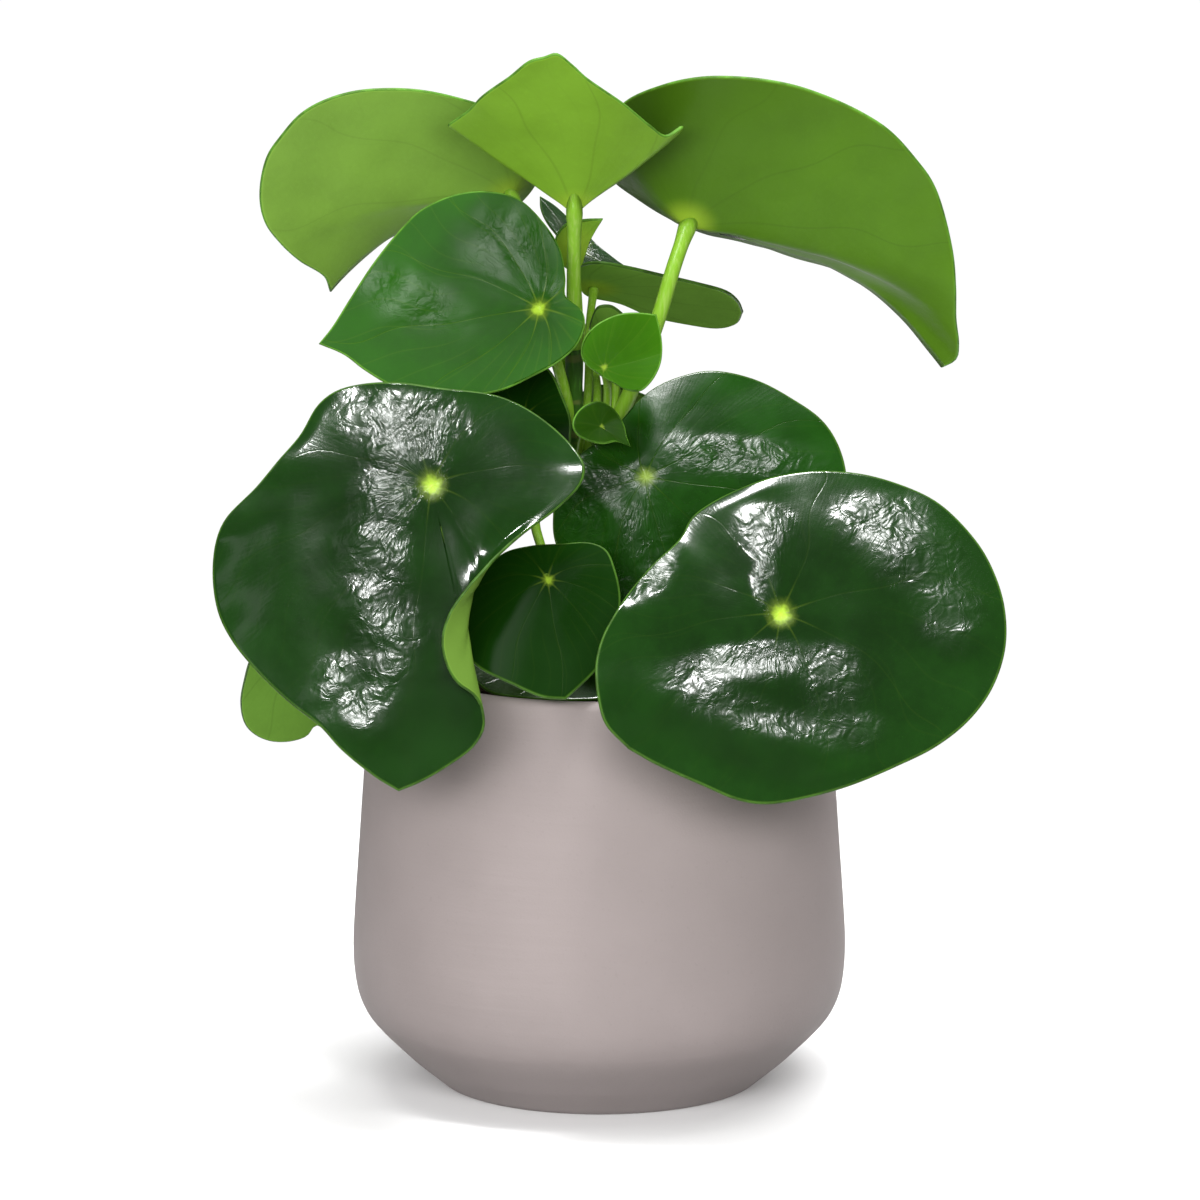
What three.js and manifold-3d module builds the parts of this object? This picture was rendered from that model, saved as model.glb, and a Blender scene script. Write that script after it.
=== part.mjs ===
// Potted peperomia: a round-leaved plant with peltate, glossy blades in a matte stoneware pot.
// Millimetres, +Z up, origin at the centre of the pot's flat foot, +Y towards the back.
import * as THREE from "three";
import { mergeVertices } from "three/addons/utils/BufferGeometryUtils.js";
import Module from "manifold-3d";

const wasm = await Module();
wasm.setup();

// ---- Driving dimensions -------------------------------------------------------------------

const GAP = 0.3; // clearance between pieces that touch

const POT_HEIGHT = 124;
const POT_MAX_RADIUS = 70;
const POT_RIM_RADIUS = 64.3;
const POT_FOOT_RADIUS = 45.3;
const POT_WALL = 5;
const POT_FLOOR = 8;
const POT_SIDES = 48;

const SOIL_DEPTH_BELOW_RIM = 18;
const SOIL_MOUND = 3;

const TRUNK_RADIUS = 3;
const TRUNK_ROOT_DEPTH = 20;
const TRUNK_SIDES = 8;
const PETIOLE_SIDES = 6;

const BLADE_THICKNESS = 1;
const LARGE_BLADE = { rings: 6, spokes: 34 };
const SMALL_BLADE = { rings: 4, spokes: 22 };

// The leaves are drawn as they look from the front and 13 degrees above: x runs across the
// drawing and h up it. A third value gives the depth, y, of a hub or of a point on a petiole,
// and for a point on a rim how far it stands behind the flat blade.
const VIEW_TILT = THREE.MathUtils.degToRad(13);

// ---- Materials ----------------------------------------------------------------------------

function matte(color, roughness) {
  return new THREE.MeshStandardMaterial({ color, roughness, metalness: 0 });
}

const STONEWARE = matte(0xb8aeac, 0.75);
const SOIL = matte(0x33271d, 0.95);
const STALK = matte(0x6f9a35, 0.5);
const MATURE_LEAF = matte(0x1f5a24, 0.25);
const YOUNG_LEAF = matte(0x5f9a32, 0.3);
const PALE_LEAF = matte(0x7fae4e, 0.4);

// ---- Leaves -------------------------------------------------------------------------------
// hub: where the petiole meets the blade. face: the way the blade's upper side looks at the hub.
// lift: how straight the blade runs from hub to rim; 0 leaves the hub flat, 1 makes a cone.
// rim: from the tip, round the margin. Two more values roll the margin out past the rim.
// stalk: points on the petiole, from the trunk to just before the hub.

const LEAVES = {
  leaf_back_left: {
    material: PALE_LEAF, size: LARGE_BLADE, hub: [-25, 250.5, 22], face: [-0.1, 0.8, 0.6], lift: 0.7,
    rim: [
      [-76.5, 223, -8, 0, 10], [-78, 227, -8, 0, 11], [-85, 231.5, -10, 0, 9],
      [-90.5, 236.5, -10, 0, 4], [-94.5, 242, -8],
      [-96, 249, -4], [-94, 260, 0], [-90, 266, 2], [-84, 272.5, 4], [-76, 276.5, 5],
      [-66, 279, 6], [-52, 279, 6], [-38, 276.5, 6], [-26, 272, 6], [-18, 266, 8],
      [-16, 259, 12], [-19, 253, 15], [-24, 247.5, 18], [-32, 242.5, 20], [-43, 241, 18],
      [-56.5, 241, 13, 0, 2], [-62, 238.5, 9, 0, 5], [-68, 235, 4, 0, 8], [-73.5, 229.5, -3, 0, 10],
    ],
    stalk: [[-7, 176, 2], [-11, 205, 10], [-19, 234, 16]], stalkRadius: 1.8,
  },
  leaf_top: {
    material: YOUNG_LEAF, size: LARGE_BLADE, hub: [-7, 245, -8], face: [0, 0.85, 0.5], lift: 0.8,
    rim: [
      [-42.5, 269, 10], [-36.5, 273, 6], [-33, 276.5, 3], [-25.5, 281.5, 0], [-19.5, 286, 0],
      [-15.5, 287, 0], [-12, 288, 0], [-7.5, 285, 0], [-4, 282, 0], [1, 278.5, 0], [7.5, 274, 2],
      [14.5, 268.5, 6], [19, 266, 9], [23.5, 268.5, 12], [20, 265, 15], [12, 260, 17],
      [2, 255, 19], [-9, 253, 22], [-20, 258, 22], [-32, 264, 18],
    ],
    stalk: [[-7.2, 200, 0], [-7.2, 228, -4], [-7, 240, -7.5]], stalkRadius: 1.9,
  },
  leaf_back_right: {
    material: PALE_LEAF, size: LARGE_BLADE, hub: [25, 241.5, 8], face: [-0.05, 0.85, 0.5], lift: 0.8,
    rim: [
      [97.5, 201.5, -12, 2, 16], [101.2, 203.5, -13, 2, 16], [102, 208, -14, 2, 14],
      [101.2, 215, -13, 0, 8], [101, 224, -12, 0, 2], [100, 234, -8], [95, 251.5, -2],
      [89.5, 259.5, 0], [80, 269, 3], [68, 275.5, 6], [57, 279.5, 8], [48.5, 281.5, 10],
      [38, 282.5, 12], [28.5, 282.5, 14], [18, 280.5, 18], [6, 275, 26], [1, 266, 22],
      [2, 257, 20], [8, 251.5, 28], [16, 247.5, 34], [28, 243, 40], [39, 239.5, 40],
      [57, 233, 36, 0, 4], [68, 229.5, 30, 0, 9], [79.5, 224, 22, 0, 14],
      [90, 217, 12, 2, 18], [97, 210, 2, 2, 18], [99.3, 206, -8, 2, 18],
    ],
    stalk: [[-5, 166, 2], [7.4, 191, 0], [16, 213, 0], [21.2, 230, 2]], stalkRadius: 2.1,
  },
  leaf_left: {
    material: YOUNG_LEAF, size: LARGE_BLADE, hub: [-17, 217.5, -20], face: [-0.2, -0.85, 0.5], lift: 0.3,
    rim: [
      [-79, 207.5, 0], [-75.5, 212, 0], [-70.5, 220, 0], [-64, 230, 0], [-56.5, 239.5, 0],
      [-51, 245, 0], [-45, 248.2, 0], [-39.5, 250, 0], [-32.5, 250.7, 0], [-23, 248.5, 0],
      [-15.5, 241.5, 0], [-11, 234, 0], [-9.5, 226, 0], [-9.5, 221, 0], [-7.5, 219, 0],
      [-5, 217, 0], [-4, 213.5, 0], [-6, 207.5, 0], [-11, 202.5, 0], [-19, 198, 0],
      [-28.5, 194, 0], [-44, 192.5, 0], [-57, 195, 0], [-66, 200, 0], [-72, 204.5, 0],
    ],
    stalk: [[-8, 186, -1], [-11, 199, -6], [-15, 211, -12]], stalkRadius: 1.5,
  },
  leaf_front_left: {
    material: MATURE_LEAF, size: LARGE_BLADE, hub: [-47, 167.5, -52], face: [-0.12, -0.9, 0.42], lift: 0.3,
    rim: [
      [-56, 82, 4], [-62, 85.5, 3], [-72, 93.5, 2], [-78, 100, 2], [-86.5, 106.5, 4],
      [-96, 115.5, 6], [-103, 124, 8], [-107, 132, 10], [-108.5, 142, 10], [-107.5, 152, 10],
      [-105, 158, 8], [-96, 167.5, 6], [-90.5, 174, 4], [-84, 181.5, 4], [-79, 190, 4],
      [-74, 194, 3], [-67, 196, 2], [-56.5, 196.5, 0], [-45, 195, 0], [-28, 192.5, 2],
      [-17, 187, 2], [-7.5, 178.5, 2], [-4, 172.5, 0], [-5, 168, 0], [-11, 161.5, 0],
      [-21, 154, 0], [-28, 148, -2, 4, -3], [-33, 143, -5, 8, -5], [-37.5, 138, -7, 13, -6],
      [-42, 131.7, -8, 16, -4], [-44, 124, -8, 17, -2], [-42.3, 116.4, -7, 13, 1],
      [-39.4, 112, -5.5, 8, 1], [-35.2, 109, -3, 3, 1], [-33, 106, -1],
      [-32, 100, 0], [-35, 94.5, 2], [-43, 88.5, 3], [-50, 84.5, 3],
    ],
    stalk: [[-7, 168, 0], [-20, 171, -14], [-36, 170, -34]], stalkRadius: 2,
  },
  leaf_front_right: {
    material: MATURE_LEAF, size: LARGE_BLADE, hub: [50.5, 131.5, -68], face: [0.12, -0.82, 0.57], lift: 0.3,
    rim: [
      [8, 94, 2], [1.5, 101, 0], [-0.7, 109, -2], [-1, 118, -2], [1, 125.5, -2], [4.5, 132, -2],
      [9, 138.5, 0], [15, 145.5, 0], [22.5, 152.5, 2], [26, 158.5, 3], [33, 163.5, 3],
      [45.5, 169, 3], [54, 171, 3], [63, 171.7, 3], [75, 170.5, 3], [88, 166.5, 3],
      [96.5, 161.5, 3], [106.5, 151, 3], [111.5, 141, 3], [113.8, 131, 3], [113.5, 121, 3],
      [109.5, 110, 2], [103, 101.5, 2], [94, 94.5, 2], [84, 89.5, 2], [71, 84, 2],
      [59, 80.5, 2], [47, 78.5, 2], [39, 79.5, 2], [28, 84, 2], [16, 89.5, 2],
    ],
    stalk: [[-6, 124, 2], [8, 124, -12], [26, 124, -34], [42, 126, -54]], stalkRadius: 2.1,
  },
  leaf_right: {
    material: MATURE_LEAF, size: LARGE_BLADE, hub: [13, 169.5, -28], face: [0.1, -0.8, 0.55], lift: 0.3,
    rim: [
      [69, 160, 6], [69.5, 172, 4], [66.5, 181, 4], [62, 187, 3], [54, 192.5, 3],
      [45.5, 197, 3], [37, 199.5, 2], [30, 200, 2], [23, 198.5, 2], [17, 196, 2],
      [11.5, 192, 2], [6.5, 186.5, 2], [0, 180.5, 2], [-7, 175, 2], [-12, 168, 3],
      [-13, 160, 5], [-12.5, 152, 8], [-6, 140, 12], [8, 131, 13], [25, 132, 10], [45, 137, 8],
      [60, 149, 6],
    ],
    stalk: [[-4, 160, 1], [4, 163, -6], [11, 166.5, -17]], stalkRadius: 1.8,
  },
  leaf_over_rim: {
    material: MATURE_LEAF, size: SMALL_BLADE, hub: [-14.5, 141, -52], face: [0, -0.86, 0.5], lift: 0.3,
    rim: [
      [-9.5, 107.5, 0], [-15.5, 108, 0], [-24, 111.5, 0], [-34, 116.5, 2], [-38.5, 121.5, 4],
      [-38.8, 128, 5], [-36.5, 136, 5], [-32.5, 143, 4], [-27, 148.5, 3], [-19.5, 150.6, 1],
      [-11, 151.2, 0], [-2.5, 151.5, 0], [2, 149.5, 0], [4.5, 144, 0], [6, 136, 1],
      [4.5, 126, 1], [0.5, 117.5, 1], [-5, 111.5, 0],
    ],
    stalk: [[-7, 168, 0], [-13, 166, -12], [-18, 158, -30], [-16, 149, -42]], stalkRadius: 1.3,
  },
  leaf_young_centre: {
    material: YOUNG_LEAF, size: SMALL_BLADE, hub: [1.5, 200.5, -30], face: [0.1, -0.9, 0.4], lift: 0.3,
    rim: [
      [16, 215.7, 2], [11.5, 216.2, 1], [6.5, 216, 0], [2.5, 214.7, 0], [-1.5, 212.3, 0],
      [-4.2, 209, 0], [-5.2, 205.5, 0], [-4.5, 202.5, 0], [-2, 200, 0], [1, 198, 0],
      [4.5, 196, 0], [8, 194.2, 0], [11.5, 194, 0], [14.5, 196.5, 0], [17, 201, 1],
      [17.7, 205.5, 2], [17.2, 211, 2],
    ],
    stalk: [[-5, 166, 0], [1, 183, -6], [2.4, 194, -18]], stalkRadius: 1.15,
  },
  leaf_bud: {
    material: YOUNG_LEAF, size: SMALL_BLADE, hub: [0.5, 184, -32], face: [0.15, -0.8, 0.55], lift: 0.4,
    rim: [
      [8.8, 178.5, 0], [4.8, 179.8, 0.4], [1.5, 179.2, 0.4], [-2.5, 179.8, 0.4], [-6.3, 181.8, 0],
      [-7.6, 184.5, -1], [-6.7, 187.5, -1], [-4, 190.2, -1], [-0.3, 191.3, -1], [2.7, 190.2, -1],
      [5.2, 187.8, 0], [7, 184.5, 0], [7.8, 181, 0],
    ],
    stalk: [[-6, 176, -1], [-4, 184, -12], [-1.5, 185.5, -24]], stalkRadius: 0.9,
  },
  leaf_rear_right: {
    material: PALE_LEAF, size: SMALL_BLADE, hub: [-1.5, 224.5, 32], face: [0.1, 0.5, 0.85], lift: 0.5,
    rim: [
      [41, 217.5, 0], [39.5, 220.5, 0], [36, 223, 0], [28.5, 225, 0], [18.5, 227.3, 0],
      [8, 229.7, 0], [0, 231, 0], [-4.5, 230.5, 0], [-7, 228, 0], [-6, 225, 0], [-3, 222, 0],
      [6, 220, 0], [15, 216.5, 0], [25.5, 214.3, 0], [34, 213.2, 0], [39, 214.3, 0],
    ],
    stalk: [[-6, 172, 2], [-3.3, 193, 6], [-2.8, 213, 20]], stalkRadius: 1.1,
  },
  leaf_rear_left: {
    material: PALE_LEAF, size: SMALL_BLADE, hub: [-7, 236, 48], face: [0.15, -0.6, 0.75], lift: 0.4,
    rim: [
      [-17, 250.5, 0], [-16.8, 247, 0], [-15, 243, 0], [-12, 239, 0], [-8, 232, 0],
      [-2, 228.5, 0], [5, 228, 0], [8, 229.5, 0], [5, 232, 0], [0, 236, 0], [-3, 239, 0],
      [-8, 243.5, 0], [-13, 248, 0],
    ],
    stalk: [[-6, 170, 2], [-0.8, 191, 7], [-3, 207, 28], [-7.5, 222, 44]], stalkRadius: 1.2,
  },
  leaf_spear: {
    material: PALE_LEAF, size: SMALL_BLADE, hub: [-7.8, 235, 8], face: [-0.3, 0.9, 0.35], lift: 0.5,
    rim: [
      [1, 243.2, 0], [-1, 240, 0], [-2.8, 236.5, 0], [-4, 233, 0], [-5.5, 229.5, 0],
      [-9, 229, 0], [-12, 233, 0], [-12.3, 238, 0], [-9, 242, 0], [-4, 243, 0],
    ],
    stalk: [[-6, 190, 2], [-5.4, 208, 3], [-6.2, 226, 4.5]], stalkRadius: 0.9,
  },
  leaf_small_rear: {
    material: PALE_LEAF, size: SMALL_BLADE, hub: [2.5, 210.5, 8], face: [0, 0.6, 0.8], lift: 0.5,
    rim: [
      [9, 213, 0], [6.5, 216.3, 0], [3, 218.4, 0], [0, 218.2, 0], [-2, 215.5, 0],
      [-2.5, 211, 0], [1, 208, 0], [6, 208.5, 0],
    ],
    stalk: [[-5, 168, 1], [3.8, 187, 2], [4.4, 200, 4]], stalkRadius: 1.2,
  },
  leaf_shaded: {
    material: MATURE_LEAF, size: SMALL_BLADE, hub: [-21, 187, -11], face: [-0.1, -0.85, 0.5], lift: 0.3,
    rim: [
      [-8, 180, -1], [-8, 186.5, -2], [-10.3, 193, -3], [-13.7, 200, -3], [-19, 204, -1],
      [-27, 203.5, 0], [-34, 197, 0], [-37, 187, 0], [-33, 179, 0], [-23, 176, 0], [-13, 175.5, 0],
    ],
    stalk: [[-7, 176, 1], [-13, 180, -2], [-18, 184, -5]], stalkRadius: 1.1,
  },
  leaf_low_left: {
    material: PALE_LEAF, size: SMALL_BLADE, hub: [-86, 122, 32], face: [-0.3, 0.8, 0.5], lift: 0.4,
    rim: [
      [-79, 98.7, 0], [-81.5, 99.5, 0], [-84, 96.5, 0], [-88.5, 95, 0], [-94, 95, 0],
      [-98.5, 96.8, 0], [-101.5, 100, 0], [-102.6, 106, 0], [-101.5, 112.5, 0], [-99.5, 119, 0],
      [-95, 126, 0], [-86, 130, 0], [-76, 128, 0], [-70, 119, 0], [-71, 108, 0], [-76, 102, 0],
    ],
    stalk: [[-6, 138, 3], [-28, 145, 10], [-60, 149, 18], [-79, 139, 20], [-84, 129, 23]], stalkRadius: 1.2,
  },
  leaf_in_mouth: {
    material: MATURE_LEAF, size: SMALL_BLADE, hub: [-14, 121, -22], face: [0, -0.6, 0.8], lift: 0.3,
    rim: [
      [-37, 119.5, 0], [-36.3, 115, 0], [-33.8, 111.3, 0], [-30, 109, 0], [-20, 107.5, 0],
      [-8, 107, 0], [2, 108, 0], [6, 113, 0], [4, 121, 0], [-4, 126, 0], [-16, 128, 0],
      [-28, 126, 0], [-35, 123, 0],
    ],
    stalk: [[-6, 122, 2], [-9, 122, -4], [-12, 121, -12]], stalkRadius: 1.2,
  },
  leaf_behind_left: {
    material: MATURE_LEAF, size: SMALL_BLADE, hub: [-54, 160, 44], face: [-0.35, 0.75, 0.55], lift: 0.3,
    rim: [
      [-60, 124, 0], [-74, 131, -2], [-84, 145, -3], [-84, 162, -2], [-76, 176, 0], [-62, 184, 1],
      [-46, 184, 1], [-34, 176, 0], [-29.5, 164, 0], [-32, 150, -1], [-40, 136, -2], [-50, 127, -2],
    ],
    stalk: [[-7, 166, 1], [-26, 174, 18], [-46, 167, 36]], stalkRadius: 1.4,
  },
  leaf_behind_right: {
    material: MATURE_LEAF, size: SMALL_BLADE, hub: [14, 176, 38], face: [0.35, 0.8, 0.5], lift: 0.3,
    rim: [
      [36, 150, 0], [41, 162, -1], [39, 175, -1], [30, 186, 0], [17, 192, 1], [6, 196, 1],
      [-3, 196, 0], [-7.5, 188, 0], [-7.5, 176, 0], [-3, 164, 0], [8, 154, -1], [22, 149, -1],
    ],
    stalk: [[-6, 160, 1], [2, 169, 15], [10, 175, 29]], stalkRadius: 1.3,
  },
};

// ---- Meshes -------------------------------------------------------------------------------

function meshGeometry(points, triangles) {
  const geometry = new THREE.BufferGeometry().setFromPoints(points);
  geometry.setIndex(triangles.flat());
  return geometry;
}

function toSolid(geometry) {
  const bare = geometry.clone();
  bare.deleteAttribute("normal");
  bare.deleteAttribute("uv");
  const merged = mergeVertices(bare, 1e-4);
  const vertProperties = new Float32Array(merged.attributes.position.array);
  const triVerts = new Uint32Array(merged.index.array);
  return new wasm.Manifold(new wasm.Mesh({ numProp: 3, vertProperties, triVerts }));
}

function toGeometry(solid) {
  const { vertProperties, triVerts } = solid.getMesh();
  const geometry = new THREE.BufferGeometry();
  geometry.setAttribute("position", new THREE.BufferAttribute(vertProperties, 3));
  geometry.setIndex(new THREE.BufferAttribute(triVerts, 1));
  return geometry;
}

function namedMesh(name, geometry, material) {
  geometry.computeVertexNormals();
  const mesh = new THREE.Mesh(geometry, material);
  mesh.name = name;
  return mesh;
}

// A body turned about Z, from [radius, height] points that start and end on the axis.
function turned(profile, sides) {
  const points = profile.map(([radius, height]) => new THREE.Vector2(radius, height));
  return new THREE.LatheGeometry(points, sides).rotateX(Math.PI / 2);
}

// ---- Pot and soil -------------------------------------------------------------------------

// Half of the pot's outer outline: a cone up from the foot, a round shoulder at the widest
// place, then a wall that leans in slightly up to the rim.
const POT_OUTSIDE = [
  [POT_FOOT_RADIUS - 1, 0],
  [POT_FOOT_RADIUS, 0.4],
  [54.5, 8.1],
  [57.8, 11.3],
  [63.2, 16.7],
  [66.3, 20.6],
  [68.5, 25.5],
  [69.6, 31.4],
  [POT_MAX_RADIUS, 39],
  [69.4, 51.7],
  [68.4, 66.3],
  [67, 86.6],
  [POT_RIM_RADIUS + 0.3, POT_HEIGHT - 4],
];

// The lip is rounded over the wall's thickness.
const POT_LIP = [
  [POT_RIM_RADIUS - 0.2, POT_HEIGHT - 1.6],
  [POT_RIM_RADIUS - 1.4, POT_HEIGHT - 0.3],
  [POT_RIM_RADIUS - 2.6, POT_HEIGHT],
  [POT_RIM_RADIUS - 4, POT_HEIGHT - 0.5],
  [POT_RIM_RADIUS - POT_WALL + 0.1, POT_HEIGHT - 2.4],
];

const POT_INSIDE = [
  [POT_RIM_RADIUS - POT_WALL + 0.2, POT_HEIGHT - 6],
  [67 - POT_WALL, 86.6],
  [POT_MAX_RADIUS - POT_WALL, 42],
  [68 - POT_WALL, 28],
  [60 - POT_WALL, 17],
  [50 - POT_WALL, POT_FLOOR],
];

const SOIL_TOP = POT_HEIGHT - SOIL_DEPTH_BELOW_RIM;

function insideRadiusAt(height) {
  const above = POT_INSIDE.findLastIndex(([, level]) => level >= height);
  const [upperRadius, upperLevel] = POT_INSIDE[above];
  const [lowerRadius, lowerLevel] = POT_INSIDE[above + 1];
  return THREE.MathUtils.mapLinear(height, lowerLevel, upperLevel, lowerRadius, upperRadius);
}

function makePot() {
  const profile = [[0, 0], ...POT_OUTSIDE, ...POT_LIP, ...POT_INSIDE, [0, POT_FLOOR]];
  return namedMesh("pot", turned(profile, POT_SIDES), STONEWARE);
}

function makeSoil() {
  const wall = POT_INSIDE.filter(([, level]) => level < SOIL_TOP).reverse();
  wall[0] = [wall[0][0], POT_FLOOR + GAP];
  const profile = [
    [0, POT_FLOOR + GAP],
    ...wall.map(([radius, level]) => [radius - 2 * GAP, level]),
    [insideRadiusAt(SOIL_TOP) - 2 * GAP, SOIL_TOP],
    [insideRadiusAt(SOIL_TOP) * 0.6, SOIL_TOP + 0.6 * SOIL_MOUND],
    [0, SOIL_TOP + SOIL_MOUND],
  ];
  const depth = TRUNK_ROOT_DEPTH + SOIL_MOUND + 2 * GAP;
  const hole = new THREE.CylinderGeometry(TRUNK_RADIUS + 2 * GAP, TRUNK_RADIUS + 2 * GAP, 2 * depth, 16);
  hole.rotateX(Math.PI / 2);
  hole.translate(TRUNK[0].x, TRUNK[0].y, SOIL_TOP + depth - TRUNK_ROOT_DEPTH - GAP);
  const soil = toSolid(turned(profile, POT_SIDES)).subtract(toSolid(hole));
  return namedMesh("soil", toGeometry(soil), SOIL);
}

// ---- Blades -------------------------------------------------------------------------------

function fromDrawing([x, h, y]) {
  return new THREE.Vector3(x, y, (h - y * Math.sin(VIEW_TILT)) / Math.cos(VIEW_TILT));
}

// A rim point lies on the flat blade through the hub, moved back by its third value.
function rimPoint(leaf, face, [x, h, behind]) {
  const across = x - leaf.hub[0];
  const up = (h - leaf.hub[1]) / Math.cos(VIEW_TILT);
  const slope = face.y - face.z * Math.tan(VIEW_TILT);
  const depth = leaf.hub[2] - (face.x * across + face.z * up) / slope;
  return fromDrawing([x, h, depth + behind]);
}

function rimRoll([, , , rollX = 0, rollH = 0]) {
  return new THREE.Vector3(rollX, 0, rollH / Math.cos(VIEW_TILT));
}

// Rim and roll at equal steps along the margin. The curve starts and ends at the tip, which
// keeps the tip sharp.
function evenSteps(points, rolls, count) {
  const margin = new THREE.CatmullRomCurve3([...points, points[0]]);
  const rolling = new THREE.CatmullRomCurve3([...rolls, rolls[0]], false, "catmullrom", 0.5);
  margin.arcLengthDivisions = 400;
  return Array.from({ length: count }, (_, step) => {
    const t = margin.getUtoTmapping(step / count);
    return [margin.getPoint(t), rolling.getPoint(t)];
  });
}

// One bent spoke of the blade, from the hub, where it runs in the hub's plane, to the rim.
function spokeCurve(hub, face, lift, rim, roll) {
  const reach = rim.clone().sub(hub);
  const rise = face.clone().multiplyScalar(reach.dot(face));
  const flat = reach.clone().sub(rise);
  const near = hub.clone().addScaledVector(flat, 1 / 3).addScaledVector(rise, lift / 3)
    .addScaledVector(roll, 1 / 3);
  const far = hub.clone().addScaledVector(flat, 2 / 3).addScaledVector(rise, (1 + lift) / 3).add(roll);
  return new THREE.CubicBezierCurve3(hub, near, far, rim);
}

function bladeGrid(leaf) {
  const { rings, spokes } = leaf.size;
  const hub = fromDrawing(leaf.hub);
  const face = new THREE.Vector3(...leaf.face).normalize();
  const rim = leaf.rim.map((point) => rimPoint(leaf, face, point));
  const margin = evenSteps(rim, leaf.rim.map(rimRoll), spokes);
  const curves = margin.map(([point, roll]) => spokeCurve(hub, face, leaf.lift, point, roll));
  const points = [hub];
  for (let ring = 1; ring <= rings; ring += 1) {
    for (const curve of curves) {
      points.push(curve.getPoint(ring / rings));
    }
  }
  const at = (ring, spoke) => (ring === 0 ? 0 : 1 + (ring - 1) * spokes + (spoke % spokes));
  const triangles = [];
  for (let spoke = 0; spoke < spokes; spoke += 1) {
    triangles.push([0, at(1, spoke), at(1, spoke + 1)]);
    for (let ring = 1; ring < rings; ring += 1) {
      const [a, b] = [at(ring, spoke), at(ring + 1, spoke)];
      const [c, d] = [at(ring + 1, spoke + 1), at(ring, spoke + 1)];
      triangles.push([a, b, c], [a, c, d]);
    }
  }
  const margins = Array.from({ length: spokes }, (_, spoke) => at(rings, spoke));
  return { points, triangles, margins, face };
}

// The blade's middle surface, thickened to both sides with the same triangles on each face.
function makeBlade(name, leaf) {
  const { points, triangles, margins, face } = bladeGrid(leaf);
  const middle = meshGeometry(points, triangles);
  middle.computeVertexNormals();
  const normals = points.map((_, i) => new THREE.Vector3().fromBufferAttribute(middle.attributes.normal, i));
  const side = Math.sign(normals[0].dot(face)) * BLADE_THICKNESS / 2;
  const upper = points.map((point, i) => point.clone().addScaledVector(normals[i], side));
  const lower = points.map((point, i) => point.clone().addScaledVector(normals[i], -side));
  const count = points.length;
  const faces = triangles.flatMap(([a, b, c]) => [[a, b, c], [a + count, c + count, b + count]]);
  margins.forEach((from, i) => {
    const to = margins[(i + 1) % margins.length];
    faces.push([from, from + count, to + count], [from, to + count, to]);
  });
  if (side < 0) {
    faces.forEach((corners) => corners.reverse());
  }
  return namedMesh(name, meshGeometry([...upper, ...lower], faces), leaf.material);
}

// ---- Stems --------------------------------------------------------------------------------

// The short upright trunk, from its root in the soil to where the top leaf's petiole starts.
const TRUNK = [
  new THREE.Vector3(-6, 3, SOIL_TOP - TRUNK_ROOT_DEPTH),
  new THREE.Vector3(-6, 3, SOIL_TOP + 12),
  new THREE.Vector3(-6.3, 2, 150),
  new THREE.Vector3(-7, 0, 180),
  new THREE.Vector3(-7.2, -1, 212),
];

// A closed tapering tube along a curve. With a face given, its end is cut parallel to the
// blade that it carries.
function taperedTube(points, startRadius, endRadius, sides, steps, face) {
  const curve = new THREE.CatmullRomCurve3(points);
  const frames = curve.computeFrenetFrames(steps, false);
  const rings = Array.from({ length: steps + 1 }, (_, step) => {
    const centre = curve.getPointAt(step / steps);
    const radius = THREE.MathUtils.lerp(startRadius, endRadius, step / steps);
    return Array.from({ length: sides }, (_, corner) => {
      const angle = (2 * Math.PI * corner) / sides;
      return centre.clone()
        .addScaledVector(frames.normals[step], radius * Math.cos(angle))
        .addScaledVector(frames.binormals[step], radius * Math.sin(angle));
    });
  });
  if (face) {
    const end = points.at(-1);
    const along = frames.tangents[steps];
    for (const point of rings[steps]) {
      point.addScaledVector(along, end.clone().sub(point).dot(face) / along.dot(face));
    }
  }
  const corners = [...rings.flat(), points[0], points.at(-1)];
  const [first, last] = [corners.length - 2, corners.length - 1];
  const triangles = [];
  for (let corner = 0; corner < sides; corner += 1) {
    const next = (corner + 1) % sides;
    triangles.push([first, next, corner], [last, steps * sides + corner, steps * sides + next]);
    for (let step = 0; step < steps; step += 1) {
      const [a, b] = [step * sides + corner, step * sides + next];
      triangles.push([a, b, b + sides], [a, b + sides, a + sides]);
    }
  }
  return meshGeometry(corners, triangles);
}

function makePetiole(leaf) {
  const face = new THREE.Vector3(...leaf.face).normalize();
  const end = fromDrawing(leaf.hub).addScaledVector(face, -(BLADE_THICKNESS / 2 + 1.4 * GAP));
  const points = [...leaf.stalk.map(fromDrawing), end];
  const steps = 2 * leaf.stalk.length + 2;
  return taperedTube(points, leaf.stalkRadius * 1.15, leaf.stalkRadius, PETIOLE_SIDES, steps, face);
}

function makeStems() {
  const trunk = toSolid(taperedTube(TRUNK, TRUNK_RADIUS, TRUNK_RADIUS * 0.8, TRUNK_SIDES, 12));
  const petioles = Object.values(LEAVES).map((leaf) => toSolid(makePetiole(leaf)));
  const stems = petioles.reduce((joined, petiole) => joined.add(petiole), trunk);
  return namedMesh("stems", toGeometry(stems), STALK);
}

// ---- Assembly -----------------------------------------------------------------------------

const plant = new THREE.Group();
plant.add(makePot(), makeSoil(), makeStems());
for (const [name, leaf] of Object.entries(LEAVES)) {
  plant.add(makeBlade(name, leaf));
}

export default plant;
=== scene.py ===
"""Potted peperomia: glossy round leaves on upright stalks, rising from a short trunk in a matte
stoneware pot. Metres, +Z up, origin at the centre of the pot's foot, +Y towards the back.
Shapes are drawn in millimetres and scaled when a mesh is made."""
import itertools
import math
from typing import NamedTuple

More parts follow.
